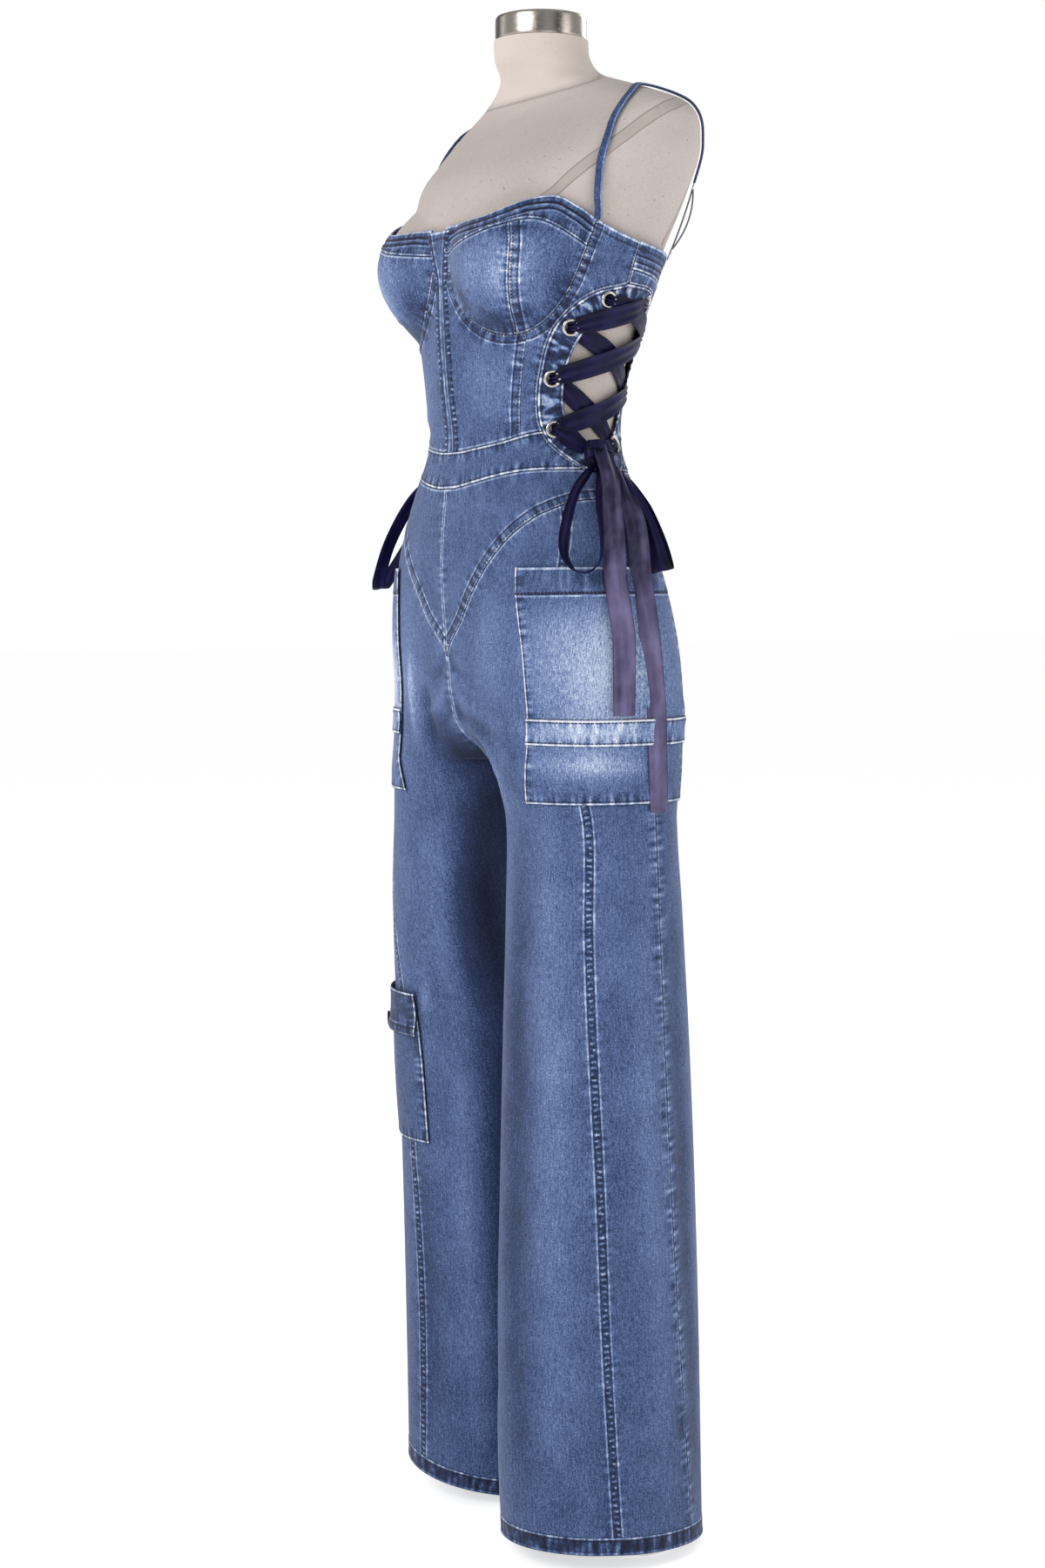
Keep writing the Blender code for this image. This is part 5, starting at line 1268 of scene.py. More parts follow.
@dataclass(frozen=True)
class Bodice:
    """Cups, bands, strip and panels round the torso."""

    tailor: Tailor = Tailor()
    fine: int = 44
    cup_ends: tuple[float, float] = (0.22, 0.84)
    strip_half: tuple = ((1.033, 5.0), (1.15, 4.5), (1.19, 3.6), (1.2165, 5.2), (1.238, 6.6))
    strip_span: tuple[float, float] = (1.033, 1.2365)
    strip_flat: float = 0.94

    def cups(self) -> None:
        """Sew two halves of each cup: smooth fills between the half oval, the band and the cup's seam."""
        p, n, (start, stop) = PATTERN, self.fine, self.cup_ends
        joint = p.cup_at(p.cup_seam[0][0])
        foot, head = p.cup(joint, 1.0, 2)[0], (p.cup_seam[-1][0], float(level(p.band_low, p.cup_seam[-1][0])))
        seam = curve((foot, *p.cup_seam[1:-1], head), n)
        inside = evenly(np.vstack([p.cup(start, 0.072, 40), [(2.3, 1.1992), (3.2, 1.215)]]), n)
        outside = evenly(np.vstack([p.cup(stop, 0.975, 40), [(73.4, 1.2155)]]), n)
        inner = coons(p.cup(start, joint, n), p.edge(p.band_low, 3.2, head[0], n), inside, seam)
        outer = coons(p.cup(joint, stop, n - 8), p.edge(p.band_low, head[0], 73.4, n - 8), seam, outside)
        self.tailor.both("cup_inner", TO, inner, Denim((TOP, TOP, TOP, PLAIN), 0.02))
        self.tailor.both("cup_outer", TO, outer, Denim((DOUBLE, TOP, TOP, PLAIN), 0.02))

    def bands(self) -> None:
        """Sew the neckline band with its rolled ridges, the centre strip and the band behind."""
        p, n, rows = PATTERN, self.fine, 20
        low, top = p.edge(p.band_low, 3.2, 73.4, 2 * n), p.edge(p.neck_top, 4.0, 74.0, 2 * n)
        band = coons(low, top, straight(low[0], top[0], rows), straight(low[-1], top[-1], rows))
        rolls = 0.0009 * abs(np.sin(np.pi * 3.0 * np.linspace(1.0, 0.0, rows)[:, None]))**0.7
        finish = Denim((PLAIN, PLAIN, TOP, FOLDED), -0.01, 0.1, (0.0075, 0.013))
        self.tailor.both("neck_band", TO, band, finish, relief=rolls)
        heights = np.linspace(*self.strip_span, 100)[:, None]
        half = level(self.strip_half, heights[:, 0])[:, None]
        spread_out = half * np.linspace(-1.0, 1.0, 23)
        self.tailor.sew("centre_strip", TO, flat_grid(spread_out, heights),
                        Denim((STRIP, STRIP, NONE, FOLDED), -0.02),
                        relief=0.0009 - 0.0007 * (abs(spread_out) > self.strip_flat * half))
        angles = np.linspace(p.side_angle, 360.0 - p.side_angle, 150)
        low, top = (np.column_stack([angles, level(line, 180.0 - abs(angles - 180.0))])
                    for line in (p.back_band, p.neck_top))
        band = coons(low, top, straight(low[0], top[0], 16), straight(low[-1], top[-1], 16))
        self.tailor.sew("back_band", TO, band, Denim((OUT, OUT, EDGED, FOLDED), -0.04, 0.08, (0.0125, 0.0185)))

    def panels(self) -> None:
        """Sew the front, side front and back panels between the waistband and the bands."""
        p, n, rows, seam_rows = PATTERN, self.fine, 80, 36
        waist, joint = p.princess[0][1], p.cup_at(p.princess[1][1])
        corner = (float(level(p.strip, 1.199)), 1.199)
        top = evenly(np.vstack([corner, p.cup(0.072, joint, 40)]), n)
        low = np.vstack([[float(level(p.strip, 1.033)), 1.033], p.edge(p.waist_top, 4.2, waist, n - 1)])
        left, right = straight(low[0], corner, n + 12), straight(low[-1], top[-1], n + 12)
        left[:, 0] = level(p.strip, left[:, 1])
        self.tailor.both("front_panel", TO, coons(low, top, left, right), Denim((TOP, DOUBLE, PLAIN, CHANNEL)))
        cup_side = evenly(np.vstack([p.cup(joint, 0.985, 40), [(74.0, 1.24)]]), rows - seam_rows + 1)
        left = np.vstack([straight(right[0], right[-1], seam_rows), cup_side[1:]])
        right = evenly(np.vstack([p.facing(p.front_outer)[0], [(p.side_angle, 1.223)]]), rows)
        low = p.edge(p.waist_top, left[0][0], right[0][0], n - 14)
        panel = coons(low, p.edge(p.neck_top, 74.0, p.side_angle, n - 14), left, right)
        self.tailor.both("side_front", TO, panel, Denim((CHANNEL, TOP, PLAIN, FOLDED)), quiet=seam_rows - 1)
        left = evenly(np.vstack([p.facing(p.back_outer)[0], [(p.side_angle, p.back_band[0][1])]]), rows)
        centre = np.column_stack([0.0 * left[:, 0] + 180.0, np.interp(left[:, 1], *zip(*p.back_rise))])
        low = p.edge(p.waist_top, left[0][0], 180.0, n + 10)
        panel = coons(low, p.edge(p.back_band, p.side_angle, 180.0, n + 10), left, centre)
        self.tailor.both("back_panel", TO, panel, Denim((TOP, DOUBLE, PLAIN, PLAIN)))

    def waistband(self) -> None:
        """Sew the front and back waistband, whose ends follow the facing's outline."""
        p, depth = PATTERN, np.linspace(0.0, 1.0, 16)[:, None]
        for node, outer, middle in (("waistband_front", p.front_outer, 0.0),
                                    ("waistband_back", p.back_outer, 180.0)):
            ends = p.facing(outer)[1]
            reach = abs(np.interp(depth, ends[:, 0], ends[:, 1]) - middle)
            angles = middle + reach * np.linspace(-1.0, 1.0, 140)
            folded = 180.0 - abs(180.0 - abs(angles))
            low, top = level(p.waist_low, folded), level(p.waist_top, folded)
            self.tailor.sew(node, TO, flat_grid(angles, low + (top - low) * depth),
                            Denim((TOP, TOP, EDGED, EDGED)), relief=0.0003)


@dataclass(frozen=True)
class LacedSide:
    """The curved facings with their nickel eyelets."""

    tailor: Tailor = Tailor()
    hole: float = 0.0052
    ring: float = 0.0084
    puckers: int = 31
    nickel: Metal = Metal("nickel", linear(206, 203, 197), 0.14)

    def facings(self) -> None:
        """Sew the facings: straight rows between two curves, with a hole at each eyelet."""
        p = PATTERN
        faces = (("lacing_front", p.front_outer, p.front_inner, p.front_eyelets),
                 ("lacing_back", p.back_outer, p.back_inner, p.back_eyelets))
        for node, outer, inner, eyelets in faces:
            left, right = curve(outer, 150)[:, None], curve(inner, 150)[:, None]
            if node == "lacing_back":
                left, right = right, left
            step = bunched(20, 0.4)
            flat = (1.0 - step[None, :, None]) * left + step[None, :, None] * right
            middle = BODY.torso(flat[..., 0], flat[..., 1])
            cell = (middle[:-1, :-1] + middle[1:, 1:]) / 2.0
            spots = BODY.torso(*np.array(eyelets).T)
            keep = np.linalg.norm(cell[..., None, :] - spots, axis=-1).min(-1) > self.hole + 0.001
            up = np.linspace(0.0, 1.0, 150)[:, None]
            pucker = 0.00035 * np.sin(2.0 * np.pi * self.puckers * up) * (1.0 - ease(step, 0.15, 0.5))
            self.tailor.both(node, TO, flat, Denim((EDGED, EDGED, NONE, NONE), 0.0, 0.5),
                             relief=pucker, keep=keep, slot="denim_dark")
            for side in (LEFT, RIGHT):
                self.eyelets(f"eyelets_{node[7:]}_{SIDE_NAME[side]}", eyelets, side)

    def eyelets(self, name: str, places: tuple, side: int) -> None:
        """Set a ring in each hole: a rolled profile of radius and height carried round a circle."""
        turn, roll = circle(40)[:, None, None], circle(14)
        middle, half = (self.hole + self.ring) / 2.0, (self.ring - self.hole) / 2.0
        radius = (middle + half * np.cos(roll))[None, :, None]
        height = (WALL * 0.5 + 0.0019 * np.sin(roll))[None, :, None]
        rings = []
        for angle, up in places:
            point, across, out = BODY.frame_at([[angle, up + step] for step in (-0.001, 0.0, 0.001)], WALL * 0.5)
            a, o = across[1], out[1]
            ring = point[1] + (np.cos(turn) * a + np.sin(turn) * np.cross(o, a)) * radius + o * height
            rings.append(closed_tube(ring * [side, 1.0, 1.0], side == LEFT))
        add_piece(name, rings, self.nickel.material())


def closed_tube(rings: Array, turned: bool, loop: bool = True) -> Shell:
    """Close a grid of rings into a tube.

    Args:
        rings: sections by points round each by 3.
        turned: reverse the faces.
        loop: whether the last section joins the first.

    Returns:
        The tube, with distances round and along it as its map. An open one has no end faces.
    """
    count, around = rings.shape[:2]
    index = np.arange(count * around).reshape(count, around)
    wide = np.concatenate([index, index[:, :1]], axis=1)
    tall = np.concatenate([wide, wide[:1]]) if loop else wide
    faces = np.stack([tall[:-1, :-1], tall[:-1, 1:], tall[1:, 1:], tall[1:, :-1]], -1).reshape(-1, 4)
    across, up = lengths(rings)
    uv = np.stack([across, up], -1).reshape(-1, 2)
    zero = 0.0 * uv[:, 0]
    values = {"from_left": across.reshape(-1), "from_right": (across[:, -1:] - across).reshape(-1),
              "worn": zero, "bend": zero, "grain_across": uv[:, 0], "grain_along": uv[:, 1]}
    return Shell(rings.reshape(-1, 3), faces[:, ::-1] if turned else faces, uv, values)


# ---------------------------------------------------------------- trousers

@dataclass(frozen=True)
class Trousers:
    """Yokes, leg panels, hems and pockets."""

    tailor: Tailor = Tailor()
    pocket_step: float = 0.625
    hip_low: float = 0.708
    hip_top: float = 0.924
    hip_back: float = 0.625
    forward: float = 0.02
    hip_band: tuple[float, float] = (0.762, 0.787)
    cargo_sides: tuple[float, float] = (0.356, 0.606)
    cargo_heights: tuple[float, float] = (0.358, 0.492)
    flap_heights: tuple[float, float] = (0.466, 0.508)
    # radius and height of the turned button, from the middle of its back to the middle of its face
    button: tuple = ((0.0001, -0.0012), (0.006, -0.0013), (0.0074, -0.0008), (0.0077, 0.0001), (0.007, 0.0011),
                     (0.0055, 0.0015), (0.0047, 0.0011), (0.003, 0.001), (0.0018, 0.0016), (0.0001, 0.0018))

    def column(self, steps: Array, part: str, height: Array) -> Array:
        """Fraction of a panel's column at a height: the share of the way between its two long seams."""
        ladder, outseam = np.moveaxis(hermite(np.array(PATTERN.leg_seams), height), -1, 0)
        if part == "front":
            pocket = level(PATTERN.hip_front, height)
            near = pocket * steps / self.pocket_step
            far = pocket + (ladder - pocket) * (steps - self.pocket_step) / (1.0 - self.pocket_step)
            return np.where(steps < self.pocket_step, near, far)
        return ladder + (outseam - ladder) * steps if part == "side" else outseam + (1.0 - outseam) * steps

    def meeting(self, steps: Array, part: str, top: Callable) -> tuple[Array, Array]:
        """Fraction and height where columns meet the edge above them, found by repeating the reading."""
        high = np.full(len(steps), BODY.rise)
        for _ in range(12):
            high = top(self.column(steps, part, high))
        return self.column(steps, part, high), high

    def yoke_at(self, fraction: Array) -> Array:
        """Height of the yoke seam."""
        return level(PATTERN.yoke, fraction)

    def waist_at(self, fraction: Array) -> Array:
        """Height of the waistband's lower edge."""
        return level(PATTERN.waist_low, 180.0 * fraction)

    def leg_panel(self, part: str, columns: int, side: int, top: Callable) -> Array:
        """Flat grid of a leg panel: rows run from the hem, close together through the fork, to the edge above."""
        steps = bunched(columns, 0.75)
        start = BODY.hem(self.column(steps, part, 0.02), side) + BODY.hem_deep
        fork = BODY.crotch + (BODY.rise - BODY.crotch) * np.linspace(0.0, 1.0, 22)**2.2
        end = self.meeting(steps, part, top)[1]
        rows = [start + (self.hip_low - start) * t for t in np.linspace(0.0, 1.0, 158)]
        rows += [np.full(columns, h) for h in np.linspace(self.hip_low, BODY.crotch, 9)[1:]]
        rows += [np.full(columns, h) for h in fork[1:]]
        rows += [BODY.rise + (end - BODY.rise) * t for t in np.linspace(0.0, 1.0, 46)[1:]]
        height = np.array(rows)
        return np.stack([self.column(steps[None, :], part, height), height], -1)

    def legs(self) -> None:
        """Sew the yokes, the three panels of each leg and the hems."""
        denim = {"front": Denim((PLAIN, LADDER, NONE, PLAIN)),
                 "side": Denim((LADDER, OUT, NONE, PLAIN)),
                 "back": Denim((OUT, DOUBLE, NONE, PLAIN))}
        for side in (LEFT, RIGHT):
            for part, columns, top in (("front", 64, self.yoke_at), ("side", 26, self.yoke_at),
                                       ("back", 60, self.waist_at)):
                self.tailor.sew(f"leg_{part}_{SIDE_NAME[side]}", TR, self.leg_panel(part, columns, side, top),
                                denim[part], side, held="hung", rests_on=("waistband_front", "waistband_back"))
            self.yoke(side)
            fractions, steps = np.linspace(0.0, 1.0, 150)[None, :], np.linspace(0.0, 1.0, 12)[:, None]
            height = BODY.hem(fractions, side) + BODY.hem_deep * steps
            self.tailor.sew(f"hem_{SIDE_NAME[side]}", TR, flat_grid(fractions, height),
                            Denim((NONE, NONE, ROPED, EDGED), -0.16, 0.12), side, held="hung",
                            relief=0.0005 * (1.0 - ease(steps, 0.0, 0.25)),
                            rests_on=(f"leg_front_{SIDE_NAME[side]}",))

    def yoke(self, side: int) -> None:
        """Sew the curved V yoke between its seam and the waistband."""
        parts = [self.meeting(bunched(56, 0.5), "front", self.yoke_at),
                 self.meeting(np.linspace(0.0, 1.0, 20)[1:], "side", self.yoke_at)]
        low = np.concatenate([np.column_stack(part) for part in parts])
        across = 0.5 * (low[:, 0] + np.linspace(0.0, low[-1, 0], len(low)))
        high = np.column_stack([across, self.waist_at(across)])
        steps = np.linspace(0.0, 1.0, 46)[:, None, None]
        self.tailor.sew(f"yoke_{SIDE_NAME[side]}", TR, low + (high - low) * steps,
                        Denim((PLAIN, NONE, DOUBLE, PLAIN)), side, relief=0.0002)

    def hip_pockets(self) -> None:
        """Sew the hip pockets, a little fuller in the middle, and their cross bands."""
        steps = bunched(44, 0.6)[None, :]
        rows, band = np.linspace(self.hip_low, self.hip_top, 72)[:, None], np.linspace(*self.hip_band, 12)[:, None]
        for node, height, finish, lift in (
                ("hip_pocket", rows, Denim((EDGED, EDGED, EDGED, HEMMED)), WALL + LAYER),
                ("pocket_band", band, Denim((PLAIN, PLAIN, EDGED, EDGED), 0.03), 2 * WALL + LAYER + LIFT)):
            share = (height - self.hip_low) / (self.hip_top - self.hip_low)
            full = 0.0016 * np.sin(np.pi * steps)**0.7 * np.sin(np.pi * share)**0.6
            for side in (LEFT, RIGHT):
                front = level(PATTERN.hip_front, height) - (self.forward if side == RIGHT else 0.0)
                self.tailor.sew(f"{node}_{SIDE_NAME[side]}", TR,
                                flat_grid(front + (self.hip_back - front) * steps, height), finish, side,
                                lift=lift + 0.0004, relief=full, held="laid",
                                rests_on=(f"leg_front_{SIDE_NAME[side]}",))

    def laid(self, node: str, heights: tuple, rows: int, edges: tuple, finish: Denim, lift: float,
             relief: Callable) -> None:
        """Sew one piece of the flap pocket.

        Args:
            node: the CAD node.
            heights: its lowest and highest height.
            rows: rows of its grid.
            edges: the front edge at its foot, how far that has moved at its head, and the back edge.
            finish: its denim.
            lift: how far its inner face is above the leg.
            relief: more height, from the share of the way across and up.
        """
        steps, height = bunched(48, 0.6)[None, :], np.linspace(*heights, rows)[:, None]
        share = (height - heights[0]) / (heights[1] - heights[0])
        near = edges[0] + edges[1] * share
        self.tailor.sew(node, TR, flat_grid(near + (edges[2] - near) * steps, height), finish, RIGHT, lift=lift,
                        relief=relief(steps, share), held="laid", rests_on=("leg_front_right",))

    def flap_pocket(self) -> None:
        """Sew the flap pocket of the right leg, with its curling flap and its button."""
        front, back = self.cargo_sides
        self.laid("flap_pocket", self.cargo_heights, 48, (front + 0.01, -0.01, back),
                  Denim((EDGED, EDGED, EDGED, NONE), -0.03), WALL + LAYER,
                  lambda u, v: 0.002 * np.sin(np.pi * u)**0.7 * np.sin(np.pi * v)**0.7)
        self.laid("pocket_flap", self.flap_heights, 22, (front + 0.003, -0.01, back + 0.004),
                  Denim((EDGED, EDGED, DOUBLE, EDGED), -0.09, 0.12), 2 * WALL + LAYER + LIFT + 0.0012,
                  lambda u, v: (0.0034 * (1.0 - ease(v, 0.0, 0.55)) * (0.55 + 0.45 * abs(2.0 * u - 1.0)**3)
                                + 0.0016 * np.sin(np.pi * u) * (1.0 - v)))
        near = np.array([[[f, h] for f in (0.47, 0.48, 0.49)] for h in (0.47, 0.472, 0.474)])
        out = normals(place(TR, near, RIGHT))[1, 1] * [-1.0, 1.0, 1.0]
        a = direction(np.cross([0.0, 0.0, 1.0], out))
        turn = circle(40)[None, :, None]
        profile = np.array(self.button)[:, None]
        rings = (np.mean(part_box("flap_button"), axis=0) - SHIFT + out * 0.0012
                 + (np.cos(turn) * a + np.sin(turn) * np.cross(out, a)) * profile[..., :1]
                 + out * profile[..., 1:])
        metal = Metal("button_metal", linear(70, 68, 72), 0.3, 0.3).material()
        add_piece("flap_button_cap", [closed_tube(rings, False, False)], metal, "flap_button", 50.0)


# ---------------------------------------------------------------- dress form

@dataclass(frozen=True)
class DressForm:
    """Linen-covered torso, steel neck cap and the enamelled stand."""

    bottom: float = 0.8
    top: float = 1.4227
    gap: float = 0.0031
    cap_radius: float = 0.0435
    neck_y: float = 0.016
    neck_seam: float = 1.381
    shoulders: float = 1.2
    # how far the cap's outline is inside its radius, and its height
    cap_edge: tuple = ((0.0015, 1.423), (0.0003, 1.4236), (0.0, 1.4246), (0.0, 1.426), (0.0, 1.442),
                       (0.0004, 1.4438),
                       (0.0014, 1.445), (0.003, 1.4455), (0.006, 1.4454), (0.012, 1.4451), (0.024, 1.4448))
    tape: tuple = ((46.0, 1.238), (51.0, 1.261), (57.0, 1.2805), (63.8, 1.2975), (69.0, 1.311), (80.0, 1.3315),
                   (95.0, 1.345), (109.0, 1.351), (122.0, 1.343), (130.0, 1.322), (133.0, 1.295), (130.0, 1.262),
                   (124.0, 1.225))

    def build(self, nodes: dict[str, bpy.types.Object]) -> None:
        """Build the torso by angle and height, the turned cap, and paint the stand."""
        heights = np.linspace(self.bottom, self.top, 190)[:, None]
        angles = np.linspace(-180.0, 180.0, 200, endpoint=False)[None, :]
        grid = BODY.torso(angles, heights)
        out = normals(grid, True)
        out[..., 2] = 0.0
        slack = (self.gap, self.gap * 1.55, self.gap * 1.55, self.gap, 0.0)
        grid = grid - out * np.interp(heights, (1.07, 1.12, 1.23, 1.25, 1.3), slack)[..., None]
        neck = grid[..., 2] - self.neck_seam + 0.0165 * np.cos(np.radians(angles))
        values = {"tape": self.away(grid, BODY.torso(*curve(self.tape, 80).T)), "neck": neck.reshape(-1)}
        skin = closed_tube(grid, False, False)
        skin = Shell(skin.points, skin.faces, skin.uv, values)
        last = len(skin.points)
        ends = (list(range(angles.size))[::-1], list(range(last - angles.size, last)))
        add_piece("form_torso_linen", [skin], Linen().material(), "form_torso", 50.0, ends)
        self.cap()
        enamel = Enamel().material()
        for name in ("form_stand_left", "form_stand_right"):
            for entry in nodes[name].material_slots:
                entry.material = enamel

    def away(self, grid: Array, path: Array) -> Array:
        """Distance from each point of the shoulders, on either side of the body, to a line of points."""
        flat = grid.reshape(-1, 3).copy()
        flat[:, 0] = abs(flat[:, 0])
        near, close = np.full(len(flat), 1.0), np.nonzero(flat[:, 2] > self.shoulders)[0]
        near[close] = to_path(flat[close], path)[0].min(1)
        return near

    def cap(self) -> None:
        """Turn the neck cap: a low drum with rounded edges and a shallow dish on top."""
        edge = [(self.cap_radius - inset, height) for inset, height in self.cap_edge]
        profile = np.array([(0.0001, 1.423), *edge, (0.0001, 1.4447)])
        turn = circle(128)
        rings = np.stack([profile[:, :1] * np.cos(turn), self.neck_y + profile[:, :1] * np.sin(turn),
                          profile[:, 1:] + 0.0 * turn], -1)
        steel = Metal("polished_steel", linear(196, 188, 180), 0.14, 0.25).material()
        add_piece("neck_cap_steel", [closed_tube(rings, False, False)], steel, "form_neck_cap", 30.0)


# ---------------------------------------------------------------- straps

@dataclass(frozen=True)
class Straps:
    """Folded denim shoulder straps, their sliders, and the thin doubled strap behind."""

    wide: float = 0.0072
    thick: float = 0.0026
    ring_radius: float = 0.0046
    ring_wire: float = 0.0009
    web_wide: float = 0.0046
    web_thick: float = 0.0016
    route: tuple = ((74.2, 1.2392), (74.0, 1.2445), (71.0, 1.26), (67.5, 1.28), (64.0, 1.3), (61.0, 1.318),
                    (58.5, 1.335), (60.0, 1.346), (66.0, 1.354), (78.0, 1.361), (92.0, 1.3635), (106.0, 1.361),
                    (118.0, 1.353), (127.0, 1.34), (132.0, 1.323), (135.0, 1.303), (136.0, 1.285))

    def swept(self, path: Array, across: Array, out: Array, wide: float, thick: float, side: int,
              around: int = 16) -> Shell:
        """Carry a rounded bar along a path: a squared oval, drawn in to close each end."""
        x, y = squared(circle(around), 0.55, 0.75)
        rows = np.concatenate([[0], np.arange(len(path)), [len(path) - 1]])
        size = np.where(np.isin(np.arange(len(rows)), (0, len(rows) - 1)), 0.02, 1.0)[:, None, None]
        section = (across[rows][:, None] * (x * wide / 2.0)[None, :, None]
                   + out[rows][:, None] * (y * thick / 2.0)[None, :, None])
        return closed_tube((path[rows][:, None] + section * size) * [side, 1.0, 1.0], side == RIGHT, False)

    def build(self) -> None:
        """Lay the straps over the shoulders and hang the thin ones behind."""
        path, across, out = BODY.frame_at(curve(self.route, 90), 0.0013 + self.thick / 2.0)
        along = direction(path[-1] - path[-3])
        denim = DENIMS.get(Denim((PLAIN, PLAIN, NONE, NONE), -0.09, 0.1))
        metal, webbing = Metal("strap_steel", linear(200, 200, 204), 0.18).material(), Webbing().material()
        spots = [[136.0, height] for height in (1.2185, 1.219, 1.2195)]
        ring, _, away = BODY.frame_at(spots, WALL + 0.0004 + self.ring_wire)
        hub, facing = ring[1], away[1]
        sideways = direction(np.cross(facing, [0.0, 0.0, 1.0]))
        upward = np.cross(sideways, facing)
        middle, t = path[-1] + along * 0.003, np.linspace(0.0, 1.0, 40)[:, None]
        start, stop = middle + along * 0.002, hub + upward * (self.ring_radius + 0.0006)
        turned = across[-1] * (1.0 - t) + sideways * np.sign(np.dot(sideways, across[-1])) * t
        for side in (LEFT, RIGHT):
            name, runs = SIDE_NAME[side], []
            strap = self.swept(path, across, out, self.wide, self.thick, side)
            add_piece(f"strap_{name}_cloth", [strap], denim, f"strap_{name}", 50.0)
            frame = self.rounded_frame(middle, across[-1], along, out[-1], side)
            add_piece(f"strap_slider_{name}_frame", frame, metal, f"strap_slider_{name}", 50.0)
            for bulge, sway in ((0.0062, 0.0), (0.001, 0.0022)):
                bow = out[-1] * (bulge * np.sin(np.pi * t)**0.8) + sideways * sway * np.sin(np.pi * t)
                line = start + (stop - start) * t + bow
                face = direction(np.cross(turned, np.gradient(line, axis=0)))
                runs.append(self.swept(line, turned, face, self.web_wide, self.web_thick, side, 12))
            add_piece(f"back_strap_{name}_web", runs, webbing, f"back_strap_{name}", 50.0)
            hoop = self.hoop(hub, sideways, upward, side)
            add_piece(f"strap_ring_{name}_wire", [hoop], metal, f"strap_ring_{name}")

    def hoop(self, middle: Array, a: Array, b: Array, side: int) -> Shell:
        """A wire ring: a small circle carried round a larger one."""
        turn, roll = circle(40)[:, None, None], circle(12)[None, :, None]
        rings = (middle
                 + (np.cos(turn) * a + np.sin(turn) * b) * (self.ring_radius + self.ring_wire * np.cos(roll))
                 + np.cross(a, b) * self.ring_wire * np.sin(roll))
        return closed_tube(rings * [side, 1.0, 1.0], side == LEFT)

    def rounded_frame(self, middle: Array, a: Array, b: Array, out: Array,
                      side: int) -> list[Shell]:
        """The slider: wire carried round a rounded rectangle, with a bar across its middle."""
        x, y = squared(circle(48), 0.4, 0.4)
        line = middle + x[:, None] * a * 0.005 + y[:, None] * b * 0.003
        along, roll = direction(np.roll(line, -1, axis=0) - np.roll(line, 1, axis=0)), circle(10)[None, :, None]
        rings = line[:, None] + (np.cos(roll) * np.cross(along, out)[:, None] + np.sin(roll) * out) * 0.0007
        bar = middle + a * np.linspace(-1.0, 1.0, 6)[:, None] * 0.0048
        rows = [np.repeat(v[None], 6, axis=0) for v in (b, out)]
        return [closed_tube(rings * [side, 1.0, 1.0], side == LEFT),
                self.swept(bar, rows[0], rows[1], 0.0014, 0.0012, side, 10)]


# ---------------------------------------------------------------- ribbons

